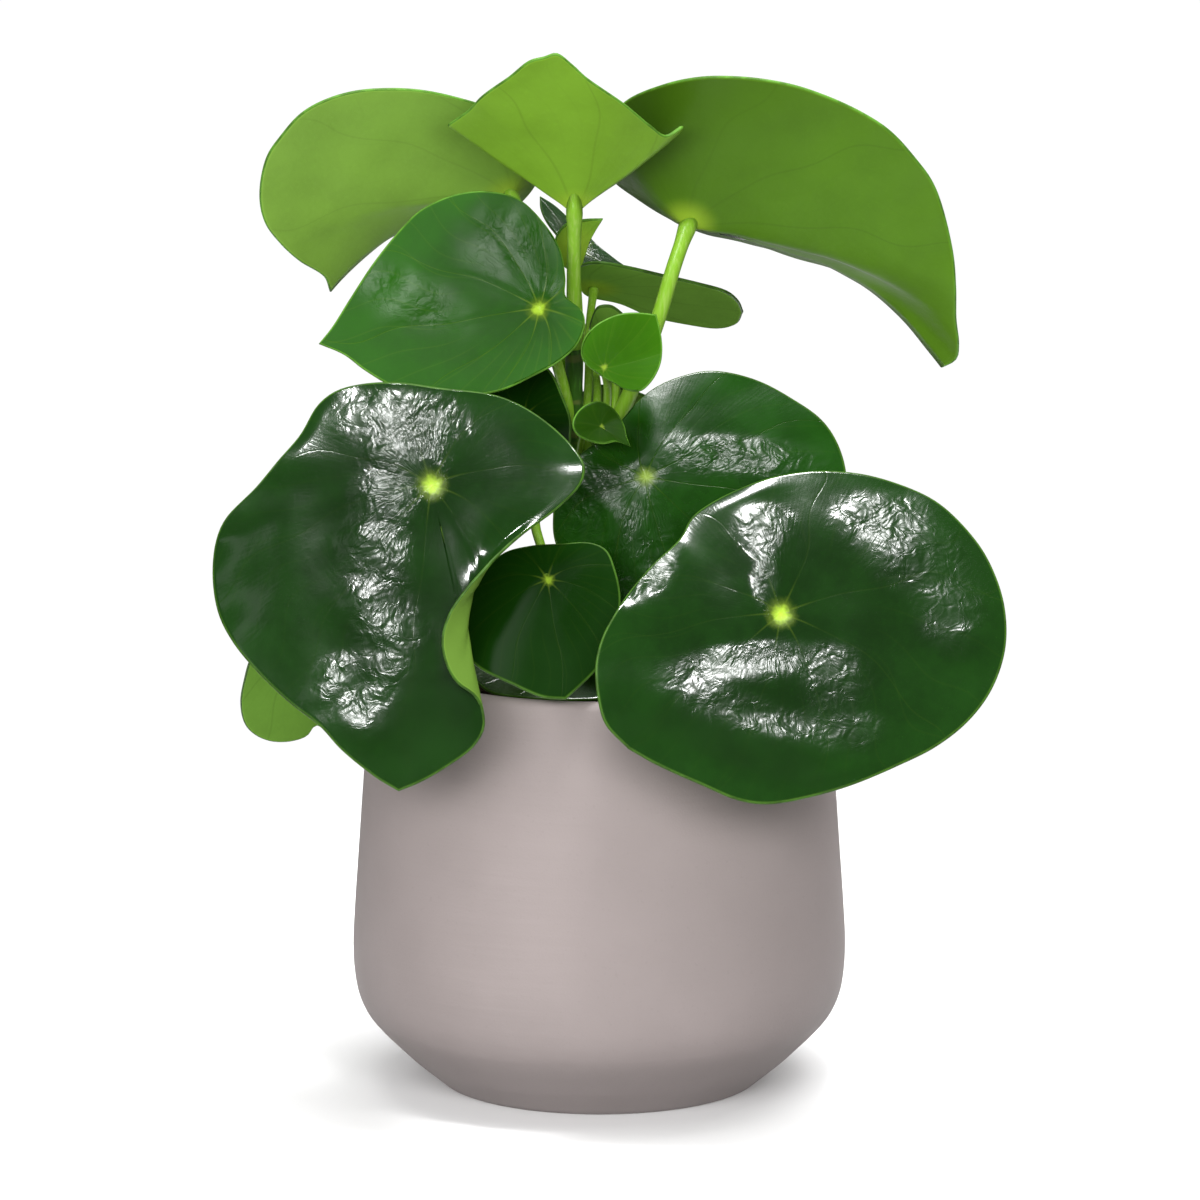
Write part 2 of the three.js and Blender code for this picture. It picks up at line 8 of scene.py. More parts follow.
import bpy
import numpy as np
from bpy.props import FloatProperty, FloatVectorProperty, IntProperty, PointerProperty
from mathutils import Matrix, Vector


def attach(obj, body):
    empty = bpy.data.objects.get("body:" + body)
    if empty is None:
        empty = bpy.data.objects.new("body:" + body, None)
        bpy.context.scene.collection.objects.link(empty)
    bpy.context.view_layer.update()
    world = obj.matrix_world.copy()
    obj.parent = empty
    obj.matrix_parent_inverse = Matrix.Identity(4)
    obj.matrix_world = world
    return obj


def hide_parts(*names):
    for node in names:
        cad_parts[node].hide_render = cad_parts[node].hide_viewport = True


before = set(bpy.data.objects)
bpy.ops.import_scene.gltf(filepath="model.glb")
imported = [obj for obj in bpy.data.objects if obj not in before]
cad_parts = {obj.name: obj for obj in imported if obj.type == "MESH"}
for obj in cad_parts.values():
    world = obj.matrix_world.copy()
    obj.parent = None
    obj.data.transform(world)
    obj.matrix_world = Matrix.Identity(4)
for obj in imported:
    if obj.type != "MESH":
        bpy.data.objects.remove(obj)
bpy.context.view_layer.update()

bl_info = {
    "name": "Potted Peperomia",
    "version": (1, 0, 0),
    "blender": (4, 5, 0),
    "location": "3D View > Sidebar > Peperomia",
    "description": "Builds a round-leaved peperomia in a stoneware pot, with its studio",
    "category": "Add Mesh",
}

MM = 0.001
VIEW_TILT = math.radians(13)

# ---- The plant's measures, in millimetres ---------------------------------------------------
# Half of the pot's outline outside, over the lip, and inside: radius and height.
POT_OUTSIDE = [
    (44.3, 0), (45.3, 0.4), (54.5, 8.1), (57.8, 11.3), (63.2, 16.7), (66.3, 20.6), (68.5, 25.5),
    (69.6, 31.4), (70, 39), (69.4, 51.7), (68.4, 66.3), (67, 86.6), (64.6, 120),
]
POT_LIP = [(64.1, 122.4), (62.9, 123.7), (61.7, 124), (60.3, 123.5), (59.4, 121.6)]
POT_INSIDE = [(59.5, 118), (62, 86.6), (65, 42), (63, 28), (55, 17), (45, 8)]
POT_FLOOR = 8
FOOT_RING, FLOOR_EDGE, FLOOR_MIDDLE = 8, 38, 6  # radii where the foot and the floor get rings
SOIL_TOP = 106
SOIL_MOUND = 3
SOIL_RADIUS = 59.8
SOIL_SIDE = [(44.4, 8.3), (54.4, 17), (62.4, 28), (64.4, 42), (61.4, 86.6), (59.9, 106)]

TRUNK = [(-6, 3, 86), (-6, 3, 118), (-6.3, 2, 150), (-7, 0, 180), (-7.2, -1, 212)]
TRUNK_RADIUS = 3


class Leaf(NamedTuple):
    """A leaf, drawn as it looks from the front and 13 degrees above: x runs across the drawing
    and h up it. A third value gives the depth, y, of a hub or of a point on a petiole, and for
    a point on a rim how far it stands behind the flat blade, where it does."""

    kind: str  # the leaves that it grows with
    look: str  # its finish, from LOOKS
    hub: tuple  # where the petiole meets the blade
    face: tuple  # the way the blade's upper side looks at the hub
    stalk: list  # points on the petiole, from the trunk to just before the hub
    stalk_radius: float
    rim: list  # from the tip, round the margin; two more values roll it out past the rim
    lift: float = 0.3  # how straight it runs from hub to rim: 0 leaves the hub flat, 1 is a cone
    large: bool = False  # drawn in finer steps, with more relief


LEAVES = {
    "leaf_back_left": Leaf(
        "pale", "mid", hub=(-25, 250.5, 22), face=(-0.1, 0.8, 0.6), lift=0.7, large=True,
        stalk_radius=1.8, stalk=[(-7, 176, 2), (-11, 205, 10), (-19, 234, 16)],
        rim=[
            (-76.5, 223, -8, 0, 10), (-78, 227, -8, 0, 11), (-85, 231.5, -10, 0, 9),
            (-90.5, 236.5, -10, 0, 4), (-94.5, 242, -8), (-96, 249, -4), (-94, 260), (-90, 266, 2),
            (-84, 272.5, 4), (-76, 276.5, 5), (-66, 279, 6), (-52, 279, 6), (-38, 276.5, 6),
            (-26, 272, 6), (-18, 266, 8), (-16, 259, 12), (-19, 253, 15), (-24, 247.5, 18),
            (-32, 242.5, 20), (-43, 241, 18), (-56.5, 241, 13, 0, 2), (-62, 238.5, 9, 0, 5),
            (-68, 235, 4, 0, 8), (-73.5, 229.5, -3, 0, 10),
        ],
    ),
    "leaf_top": Leaf(
        "young", "fresh", hub=(-7, 245, -8), face=(0, 0.85, 0.5), lift=0.8, large=True,
        stalk_radius=1.9, stalk=[(-7.2, 200, 0), (-7.2, 228, -4), (-7, 240, -7.5)],
        rim=[
            (-42.5, 269, 10), (-36.5, 273, 6), (-33, 276.5, 3), (-25.5, 281.5), (-19.5, 286),
            (-15.5, 287), (-12, 288), (-7.5, 285), (-4, 282), (1, 278.5), (7.5, 274, 2),
            (14.5, 268.5, 6), (19, 266, 9), (23.5, 268.5, 12), (20, 265, 15), (12, 260, 17),
            (2, 255, 19), (-9, 253, 22), (-20, 258, 22), (-32, 264, 18),
        ],
    ),
    "leaf_back_right": Leaf(
        "pale", "olive", hub=(25, 241.5, 8), face=(-0.05, 0.85, 0.5), lift=0.8, large=True,
        stalk_radius=2.1, stalk=[(-5, 166, 2), (7.4, 191, 0), (16, 213, 0), (21.2, 230, 2)],
        rim=[
            (97.5, 201.5, -12, 2, 16), (101.2, 203.5, -13, 2, 16), (102, 208, -14, 2, 14),
            (101.2, 215, -13, 0, 8), (101, 224, -12, 0, 2), (100, 234, -8), (95, 251.5, -2),
            (89.5, 259.5), (80, 269, 3), (68, 275.5, 6), (57, 279.5, 8), (48.5, 281.5, 10),
            (38, 282.5, 12), (28.5, 282.5, 14), (18, 280.5, 18), (6, 275, 26), (1, 266, 22),
            (2, 257, 20), (8, 251.5, 28), (16, 247.5, 34), (28, 243, 40), (39, 239.5, 40),
            (57, 233, 36, 0, 4), (68, 229.5, 30, 0, 9), (79.5, 224, 22, 0, 14),
            (90, 217, 12, 2, 18), (97, 210, 2, 2, 18), (99.3, 206, -8, 2, 18),
        ],
    ),
    "leaf_left": Leaf(
        "young", "mid", hub=(-17, 217.5, -20), face=(-0.2, -0.85, 0.5), large=True,
        stalk_radius=1.5, stalk=[(-8, 186, -1), (-11, 199, -6), (-15, 211, -12)],
        rim=[
            (-79, 207.5), (-75.5, 212), (-70.5, 220), (-64, 230), (-56.5, 239.5), (-51, 245),
            (-45, 248.2), (-39.5, 250), (-32.5, 250.7), (-23, 248.5), (-15.5, 241.5), (-11, 234),
            (-9.5, 226), (-9.5, 221), (-7.5, 219), (-5, 217), (-4, 213.5), (-6, 207.5),
            (-11, 202.5), (-19, 198), (-28.5, 194), (-44, 192.5), (-57, 195), (-66, 200),
            (-72, 204.5),
        ],
    ),
    "leaf_front_left": Leaf(
        "deep", "deep", hub=(-47, 167.5, -52), face=(-0.12, -0.9, 0.42), large=True,
        stalk_radius=2, stalk=[(-7, 168, 0), (-20, 171, -14), (-36, 170, -34)],
        rim=[
            (-56, 82, 4), (-62, 85.5, 3), (-72, 93.5, 2), (-78, 100, 2), (-86.5, 106.5, 4),
            (-96, 115.5, 6), (-103, 124, 8), (-107, 132, 10), (-108.5, 142, 10), (-107.5, 152, 10),
            (-105, 158, 8), (-96, 167.5, 6), (-90.5, 174, 4), (-84, 181.5, 4), (-79, 190, 4),
            (-74, 194, 3), (-67, 196, 2), (-56.5, 196.5), (-45, 195), (-28, 192.5, 2),
            (-17, 187, 2), (-7.5, 178.5, 2), (-4, 172.5), (-5, 168), (-11, 161.5), (-21, 154),
            (-28, 148, -2, 4, -3), (-33, 143, -5, 8, -5), (-37.5, 138, -7, 13, -6),
            (-42, 131.7, -8, 16, -4), (-44, 124, -8, 17, -2), (-42.3, 116.4, -7, 13, 1),
            (-39.4, 112, -5.5, 8, 1), (-35.2, 109, -3, 3, 1), (-33, 106, -1), (-32, 100),
            (-35, 94.5, 2), (-43, 88.5, 3), (-50, 84.5, 3),
        ],
    ),
    "leaf_front_right": Leaf(
        "deep", "deep", hub=(50.5, 131.5, -68), face=(0.12, -0.82, 0.57), large=True,
        stalk_radius=2.1, stalk=[(-6, 124, 2), (8, 124, -12), (26, 124, -34), (42, 126, -54)],
        rim=[
            (8, 94, 2), (1.5, 101), (-0.7, 109, -2), (-1, 118, -2), (1, 125.5, -2), (4.5, 132, -2),
            (9, 138.5), (15, 145.5), (22.5, 152.5, 2), (26, 158.5, 3), (33, 163.5, 3),
            (45.5, 169, 3), (54, 171, 3), (63, 171.7, 3), (75, 170.5, 3), (88, 166.5, 3),
            (96.5, 161.5, 3), (106.5, 151, 3), (111.5, 141, 3), (113.8, 131, 3), (113.5, 121, 3),
            (109.5, 110, 2), (103, 101.5, 2), (94, 94.5, 2), (84, 89.5, 2), (71, 84, 2),
            (59, 80.5, 2), (47, 78.5, 2), (39, 79.5, 2), (28, 84, 2), (16, 89.5, 2),
        ],
    ),
    "leaf_right": Leaf(
        "deep", "satin", hub=(13, 169.5, -28), face=(0.1, -0.8, 0.55), large=True,
        stalk_radius=1.8, stalk=[(-4, 160, 1), (4, 163, -6), (11, 166.5, -17)],
        rim=[
            (69, 160, 6), (69.5, 172, 4), (66.5, 181, 4), (62, 187, 3), (54, 192.5, 3),
            (45.5, 197, 3), (37, 199.5, 2), (30, 200, 2), (23, 198.5, 2), (17, 196, 2),
            (11.5, 192, 2), (6.5, 186.5, 2), (0, 180.5, 2), (-7, 175, 2), (-12, 168, 3),
            (-13, 160, 5), (-12.5, 152, 8), (-6, 140, 12), (8, 131, 13), (25, 132, 10),
            (45, 137, 8), (60, 149, 6),
        ],
    ),
    "leaf_over_rim": Leaf(
        "deep", "smooth", hub=(-14.5, 141, -52), face=(0, -0.86, 0.5),
        stalk_radius=1.3, stalk=[(-7, 168, 0), (-13, 166, -12), (-18, 158, -30), (-16, 149, -42)],
        rim=[
            (-9.5, 107.5), (-15.5, 108), (-24, 111.5), (-34, 116.5, 2), (-38.5, 121.5, 4),
            (-38.8, 128, 5), (-36.5, 136, 5), (-32.5, 143, 4), (-27, 148.5, 3), (-19.5, 150.6, 1),
            (-11, 151.2), (-2.5, 151.5), (2, 149.5), (4.5, 144), (6, 136, 1), (4.5, 126, 1),
            (0.5, 117.5, 1), (-5, 111.5),
        ],
    ),
    "leaf_young_centre": Leaf(
        "young", "young", hub=(1.5, 200.5, -30), face=(0.1, -0.9, 0.4),
        stalk_radius=1.15, stalk=[(-5, 166, 0), (1, 183, -6), (2.4, 194, -18)],
        rim=[
            (16, 215.7, 2), (11.5, 216.2, 1), (6.5, 216), (2.5, 214.7), (-1.5, 212.3), (-4.2, 209),
            (-5.2, 205.5), (-4.5, 202.5), (-2, 200), (1, 198), (4.5, 196), (8, 194.2), (11.5, 194),
            (14.5, 196.5), (17, 201, 1), (17.7, 205.5, 2), (17.2, 211, 2),
        ],
    ),
    "leaf_bud": Leaf(
        "young", "bud", hub=(0.5, 184, -32), face=(0.15, -0.8, 0.55), lift=0.4,
        stalk_radius=0.9, stalk=[(-6, 176, -1), (-4, 184, -12), (-1.5, 185.5, -24)],
        rim=[
            (8.8, 178.5), (4.8, 179.8, 0.4), (1.5, 179.2, 0.4), (-2.5, 179.8, 0.4), (-6.3, 181.8),
            (-7.6, 184.5, -1), (-6.7, 187.5, -1), (-4, 190.2, -1), (-0.3, 191.3, -1),
            (2.7, 190.2, -1), (5.2, 187.8), (7, 184.5), (7.8, 181),
        ],
    ),
    "leaf_rear_right": Leaf(
        "pale", "grey", hub=(-1.5, 224.5, 32), face=(0.1, 0.5, 0.85), lift=0.5,
        stalk_radius=1.1, stalk=[(-6, 172, 2), (-3.3, 193, 6), (-2.8, 213, 20)],
        rim=[
            (41, 217.5), (39.5, 220.5), (36, 223), (28.5, 225), (18.5, 227.3), (8, 229.7), (0, 231),
            (-4.5, 230.5), (-7, 228), (-6, 225), (-3, 222), (6, 220), (15, 216.5), (25.5, 214.3),
            (34, 213.2), (39, 214.3),
        ],
    ),
    "leaf_rear_left": Leaf(
        "pale", "grey", hub=(-7, 236, 48), face=(0.15, -0.6, 0.75), lift=0.4,
        stalk_radius=1.2, stalk=[(-6, 170, 2), (-0.8, 191, 7), (-3, 207, 28), (-7.5, 222, 44)],
        rim=[
            (-17, 250.5), (-16.8, 247), (-15, 243), (-12, 239), (-8, 232), (-2, 228.5), (5, 228),
            (8, 229.5), (5, 232), (0, 236), (-3, 239), (-8, 243.5), (-13, 248),
        ],
    ),
    "leaf_spear": Leaf(
        "pale", "fresh", hub=(-7.8, 235, 8), face=(-0.3, 0.9, 0.35), lift=0.5,
        stalk_radius=0.9, stalk=[(-6, 190, 2), (-5.4, 208, 3), (-6.2, 226, 4.5)],
        rim=[
            (1, 243.2), (-1, 240), (-2.8, 236.5), (-4, 233), (-5.5, 229.5), (-9, 229), (-12, 233),
            (-12.3, 238), (-9, 242), (-4, 243),
        ],
    ),
    "leaf_small_rear": Leaf(
        "pale", "grey", hub=(2.5, 210.5, 8), face=(0, 0.6, 0.8), lift=0.5,
        stalk_radius=1.2, stalk=[(-5, 168, 1), (3.8, 187, 2), (4.4, 200, 4)],
        rim=[
            (9, 213), (6.5, 216.3), (3, 218.4), (0, 218.2), (-2, 215.5), (-2.5, 211), (1, 208),
            (6, 208.5),
        ],
    ),
    "leaf_shaded": Leaf(
        "deep", "smooth", hub=(-21, 187, -11), face=(-0.1, -0.85, 0.5),
        stalk_radius=1.1, stalk=[(-7, 176, 1), (-13, 180, -2), (-18, 184, -5)],
        rim=[
            (-8, 180, -1), (-8, 186.5, -2), (-10.3, 193, -3), (-13.7, 200, -3), (-19, 204, -1),
            (-27, 203.5), (-34, 197), (-37, 187), (-33, 179), (-23, 176), (-13, 175.5),
        ],
    ),
    "leaf_low_left": Leaf(
        "pale", "low", hub=(-86, 122, 32), face=(-0.3, 0.8, 0.5), lift=0.4,
        stalk_radius=1.2,
        stalk=[(-6, 138, 3), (-28, 145, 10), (-60, 149, 18), (-79, 139, 20), (-84, 129, 23)],
        rim=[
            (-79, 98.7), (-81.5, 99.5), (-84, 96.5), (-88.5, 95), (-94, 95), (-98.5, 96.8),
            (-101.5, 100), (-102.6, 106), (-101.5, 112.5), (-99.5, 119), (-95, 126), (-86, 130),
            (-76, 128), (-70, 119), (-71, 108), (-76, 102),
        ],
    ),
    "leaf_in_mouth": Leaf(
        "deep", "deep", hub=(-14, 121, -22), face=(0, -0.6, 0.8),
        stalk_radius=1.2, stalk=[(-6, 122, 2), (-9, 122, -4), (-12, 121, -12)],
        rim=[
            (-37, 119.5), (-36.3, 115), (-33.8, 111.3), (-30, 109), (-20, 107.5), (-8, 107),
            (2, 108), (6, 113), (4, 121), (-4, 126), (-16, 128), (-28, 126), (-35, 123),
        ],
    ),
    "leaf_behind_left": Leaf(
        "deep", "deep", hub=(-54, 160, 44), face=(-0.35, 0.75, 0.55),
        stalk_radius=1.4, stalk=[(-7, 166, 1), (-26, 174, 18), (-46, 167, 36)],
        rim=[
            (-60, 124), (-74, 131, -2), (-84, 145, -3), (-84, 162, -2), (-76, 176), (-62, 184, 1),
            (-46, 184, 1), (-34, 176), (-29.5, 164), (-32, 150, -1), (-40, 136, -2), (-50, 127, -2),
        ],
    ),
    "leaf_behind_right": Leaf(
        "deep", "deep", hub=(14, 176, 38), face=(0.35, 0.8, 0.5),
        stalk_radius=1.3, stalk=[(-6, 160, 1), (2, 169, 15), (10, 175, 29)],
        rim=[
            (36, 150), (41, 162, -1), (39, 175, -1), (30, 186), (17, 192, 1), (6, 196, 1),
            (-3, 196), (-7.5, 188), (-7.5, 176), (-3, 164), (8, 154, -1), (22, 149, -1),
        ],
    ),
}

# Swells and dents of the large blades: x, h, half width, half length, lean from upright in
# degrees, and height towards the upper side.
SWELLS = {
    "leaf_front_left": [
        (-56, 175, 17, 9, 0, 1.6), (-59, 163, 10, 5, 12, 1.0), (-66, 153, 8, 5, -20, 1.1),
        (-60, 146, 9, 5, 15, 0.9), (-66, 136, 9, 5, -12, 1.1), (-60, 127, 10, 4.5, 18, 1.0),
        (-57, 117, 8, 5, -20, 1.1), (-58, 107, 8, 5, 10, 1.0), (-64, 98, 10, 6, -8, 1.5),
        (-90, 188, 12, 12, 0, 1.0), (-27, 151, 6, 12, 45, -1.4),
    ],
    "leaf_front_right": [
        (32, 171, 15, 9, 0, 1.2), (17, 137, 9, 9, 0, 1.0), (46, 143, 8, 9, 0, 1.8),
        (84, 147, 13, 8, 10, 2.1), (96, 134, 12, 6, 20, 2.0), (102, 124, 9, 5.5, 10, 2.0),
        (42, 111, 23, 6, -4, 1.9), (47, 95, 26, 6.5, 17, 2.9),
    ],
    "leaf_right": [
        (44, 168, 20, 7, -3, 1.7), (8, 156, 9, 14, 15, 2.8), (17, 142, 9, 10, 0, 3.0),
    ],
}
# Where blades are crumpled in fine folds: x, h, half width, half length and lean.
CRUMPLES = {
    "leaf_front_left": [
        (-55, 186, 19, 8, 0), (-54, 176, 12, 8, 0), (-60, 163, 9, 10, 0), (-62, 146, 10, 12, 0),
        (-59, 125, 10, 18, -8), (-65, 104, 9, 7, 0), (-74, 113, 9, 5, -40),
    ],
    "leaf_front_right": [
        (46, 154, 8, 7, 0), (47, 141, 4, 9, 0), (16, 143, 6, 9, 35), (80, 156, 14, 8, 10),
        (90, 147, 15, 11, 20), (99, 131, 10, 10, 0), (44, 117, 25, 6, -4), (66, 110, 10, 10, 0),
        (44, 102, 26, 6, 17), (72, 99, 8, 5, 0),
    ],
    "leaf_right": [(42, 174, 22, 6, 8), (-4, 165, 12, 16, 10), (12, 152, 10, 14, 0)],
    "leaf_left": [(-26, 235, 13, 12, 0), (-54, 221, 18, 8, 25), (-16, 222, 6, 7, 0)],
    "leaf_over_rim": [(-6, 136, 5, 12, 20)],
}
# How strongly a blade is quilted between its veins, where it isn't the usual share.
QUILTING = {"leaf_right": 0.12, "leaf_left": 0.30}
USUAL_QUILTING = 0.05

# ---- Settings -------------------------------------------------------------------------------


def count(name, description, default, least):
    return IntProperty(name=name, description=description, default=default, min=least)


def strength(name, description, default, unit="NONE"):
    return FloatProperty(name=name, description=description, default=default, min=0, unit=unit)


def colour(name, description, default):
    return FloatVectorProperty(
        name=name, description=description, default=default, min=0, max=1, size=3, subtype="COLOR"
    )


def length(name, description, default):
    return FloatProperty(
        name=name, description=description, default=default, min=0, precision=5,
        subtype="DISTANCE", unit="LENGTH",
    )


class PotSettings(bpy.types.PropertyGroup):
    """The stoneware pot"""

    sides: count("Sides", "Facets round the pot", 160, 32)
    clay: colour("Clay", "Body of the stoneware", (0.305, 0.262, 0.255))
    clay_shade: colour("Clay shade", "Slightly darker clouds in the clay", (0.293, 0.252, 0.245))
    grain: length("Grain", "Height of the clay's grain", 0.00006)


class SoilSettings(bpy.types.PropertyGroup):
    """The soil and its crumbs"""

    crumbs: count("Crumbs", "Loose crumbs on the soil", 420, 0)
    crumb_size: length("Crumb size", "Radius of an average crumb", 0.0016)
    soil: colour("Soil", "Moist potting mix", (0.020, 0.013, 0.008))
    crumb: colour("Crumb", "Bark and fibre in the mix", (0.055, 0.034, 0.019))


class StalkSettings(bpy.types.PropertyGroup):
    """The trunk and the petioles"""

    sides: count("Sides", "Facets round a stalk", 16, 8)
    stalk: colour("Petiole", "Juicy green of the petioles", (0.19, 0.39, 0.022))
    stalk_light: colour("Petiole streaks", "Paler lines along a petiole", (0.31, 0.47, 0.10))
    trunk: colour("Trunk", "Dark green trunk", (0.022, 0.075, 0.006))
    scar: colour("Leaf scar", "Pale rings left by old leaves", (0.10, 0.12, 0.03))


class LeafSettings(bpy.types.PropertyGroup):
    """The blades of all leaves"""

    rings: count("Rings", "Steps from hub to margin on a large leaf", 48, 8)
    spokes: count("Spokes", "Steps round a large leaf", 192, 24)
    thickness: length("Thickness", "Thickness of a blade", 0.001)
    vein_depth: length("Vein depth", "How deep the main veins are pressed in", 0.00030)
    pillow: length("Pillow", "How far the blade swells between its veins", 0.00045)
    wrinkle: length("Wrinkle", "Height of the fine wrinkles", 0.00016)
    deep: colour("Deep green", "Upper side of the old leaves", (0.0026, 0.0165, 0.0008))
    mid: colour("Mid green", "Upper side of the younger leaves", (0.0092, 0.050, 0.0018))
    young: colour("Young green", "Upper side of the newest leaves", (0.018, 0.075, 0.0006))
    under: colour("Underside", "Underside of the pale leaves", (0.175, 0.335, 0.042))
    under_fresh: colour("Fresh underside", "Of the topmost leaves", (0.165, 0.335, 0.021))
    under_olive: colour("Olive underside", "Of the darker leaves", (0.068, 0.165, 0.007))
    under_grey: colour("Grey underside", "Of the small rear leaves", (0.19, 0.40, 0.055))
    margin: colour("Margin", "Thin pale line round a blade", (0.042, 0.110, 0.010))
    hub: colour("Hub", "Spot over the petiole", (0.36, 0.56, 0.035))


class StudioSettings(bpy.types.PropertyGroup):
    """The floor, the lights, the room and the camera"""

    floor: colour("Floor", "Pale studio floor", (0.87, 0.87, 0.87))
    key: strength("Key light", "Power of the key light", 14, "POWER")
    sky: strength("Room light", "Strength of the light from all round", 0.35)
    mirrored: strength("Room in gloss", "Room as glossy leaves mirror it", 0.08)
    seen: strength("Backdrop", "Room as the camera sees it", 1.02)
    camera_distance: length("Camera distance", "From the camera to the plant", 5.0)


# ---- Materials ------------------------------------------------------------------------------

# Sockets that go by number: of a Mix node for colours, and outputs of two other nodes.
MIX_SHARE, MIX_ONE, MIX_OTHER, MIX_RESULT = 0, 6, 7, 2
OBJECT_PLACE = 3
ATTRIBUTE_VECTOR, ATTRIBUTE_NUMBER = 1, 2


def arithmetic(operation, reflected=False):
    """A method that adds a Math node of two terms, swapped where the wire stands on the right."""

    def method(self, other):
        terms = (other, self) if reflected else (self, other)
        return self.paint.sum(operation, *terms)

    return method


class Wire:
    """A value in a material. Sums and products of wires add Math nodes."""

    def __init__(self, paint, socket):
        self.paint = paint
        self.socket = socket

    __add__ = __radd__ = arithmetic("ADD")
    __sub__, __rsub__ = arithmetic("SUBTRACT"), arithmetic("SUBTRACT", reflected=True)
    __mul__ = __rmul__ = arithmetic("MULTIPLY")
    __truediv__, __rtruediv__ = arithmetic("DIVIDE"), arithmetic("DIVIDE", reflected=True)


class Paint:
    """A material, or the look of the room, under construction."""

    def __init__(self, owner):
        owner.use_nodes = True
        self.owner = owner
        self.tree = owner.node_tree
        self.tree.nodes.clear()

    def add(self, kind, settings=(), inputs=()):
        """A node of that type: its settings first, then the values or links of its sockets."""
        node = self.tree.nodes.new(kind)
        for name, value in dict(settings).items():
            setattr(node, name, value)
        for name, value in dict(inputs).items():
            if isinstance(value, Wire):
                self.tree.links.new(value.socket, node.inputs[name])
            else:
                node.inputs[name].default_value = value
        return node

    def wire(self, kind, settings=(), inputs=(), output=0):
        return Wire(self, self.add(kind, settings, inputs).outputs[output])

    def sum(self, operation, *terms):
        return self.wire("ShaderNodeMath", {"operation": operation}, dict(enumerate(terms)))

    def sine(self, angle):
        return self.sum("SINE", angle)

    def step(self, value, low, high):
        """0 where value is below low, 1 above high, and a smooth rise between."""
        inputs = {"Value": value, "From Min": low, "From Max": high}
        return self.wire("ShaderNodeMapRange", {"interpolation_type": "SMOOTHSTEP"}, inputs)

    def blend(self, share, one, other):
        """A colour from one to other by share."""
        one, other = (end if isinstance(end, Wire) else (*end, 1.0) for end in (one, other))
        settings = {"data_type": "RGBA", "clamp_factor": True}
        inputs = {MIX_SHARE: share, MIX_ONE: one, MIX_OTHER: other}
        return self.wire("ShaderNodeMix", settings, inputs, MIX_RESULT)

    def layers(self, base, *layers):
        """A colour with others laid over it, each by its share."""
        for share, other in layers:
            base = self.blend(share, base, other)
        return base

    def noise(self, place, scale, detail=3, roughness=0.5, distortion=0):
        inputs = {
            "Vector": place, "Scale": scale, "Detail": detail, "Roughness": roughness,
            "Distortion": distortion,
        }
        return self.wire("ShaderNodeTexNoise", (), inputs)

    def stretch(self, place, *factors):
        return self.wire("ShaderNodeVectorMath", {"operation": "MULTIPLY"}, {0: place, 1: factors})

    def vector(self, x, y, z=0):
        return self.wire("ShaderNodeCombineXYZ", (), {"X": x, "Y": y, "Z": z})

    def parts(self, vector):
        node = self.add("ShaderNodeSeparateXYZ", (), {"Vector": vector})
        return [Wire(self, socket) for socket in node.outputs]

    def place(self):
        """The point on the piece, in metres."""
        return self.wire("ShaderNodeTexCoord", output=OBJECT_PLACE)

    def attribute(self, name, output):
        return self.wire("ShaderNodeAttribute", {"attribute_name": name}, (), output)

    def bump(self, height, distance, strength=1.0, under=None):
        inputs = {"Height": height, "Distance": distance, "Strength": strength}
        if under:
            inputs["Normal"] = under
        return self.wire("ShaderNodeBump", (), inputs)

    def finish(self, **sockets):
        """Closes the material with a surface of those values."""
        inputs = {}
        for name, value in sockets.items():
            inputs[name.replace("_", " ").title().replace("Ior", "IOR")] = value
        surface = self.wire("ShaderNodeBsdfPrincipled", (), inputs)
        self.add("ShaderNodeOutputMaterial", (), {"Surface": surface})
        return self.owner


def new_paint(name):
    return Paint(bpy.data.materials.new(name))


def scaled(rgb, factor):
    return tuple(min(1.0, part * factor) for part in rgb)


def stoneware(settings):
    """Matte clay with faint clouds, specks, grain and the broad rings of throwing."""
    paint = new_paint("matte_stoneware")
    place = paint.place()
    clouds = paint.noise(place, scale=38, detail=4)
    grain = paint.noise(place, scale=1500, detail=4, roughness=0.6)
    throwing = paint.noise(paint.stretch(place, 6, 6, 90), scale=3, detail=2)
    specks = paint.step(paint.noise(place, scale=900, detail=2), 0.62, 0.75)
    body = paint.layers(
        settings.clay, (paint.step(clouds, 0.35, 0.7), settings.clay_shade),
        (specks * 0.10, scaled(settings.clay_shade, 0.6)),
    )
    rings = paint.bump(throwing, 0.0005, 0.25)
    normal = paint.bump(grain, settings.grain, 0.8, rings)
    roughness = 0.62 + (clouds - 0.5) * 0.12
    return paint.finish(
        base_color=body, roughness=roughness, specular_ior_level=0.42, normal=normal
    )


def potting_mix(settings, name, bark):
    """Dark lumps with fibres in them; bark is the share of paler ones."""
    paint = new_paint(name)
    place = paint.place()
    lumps = paint.noise(place, scale=260, detail=6, roughness=0.65)
    fibres = paint.noise(paint.stretch(place, 1, 4, 1), scale=420)
    body = paint.layers(
        scaled(settings.soil, 0.5), (paint.step(lumps, 0.38, 0.62), settings.soil),
        (paint.step(fibres, 0.58, 0.68) * bark, settings.crumb),
    )
    normal = paint.bump(lumps, 0.0012)
    return paint.finish(base_color=body, roughness=0.92, specular_ior_level=0.25, normal=normal)


SHADED_STALKS = 0.155, 0.22  # heights, in metres, between which the petioles leave the shade


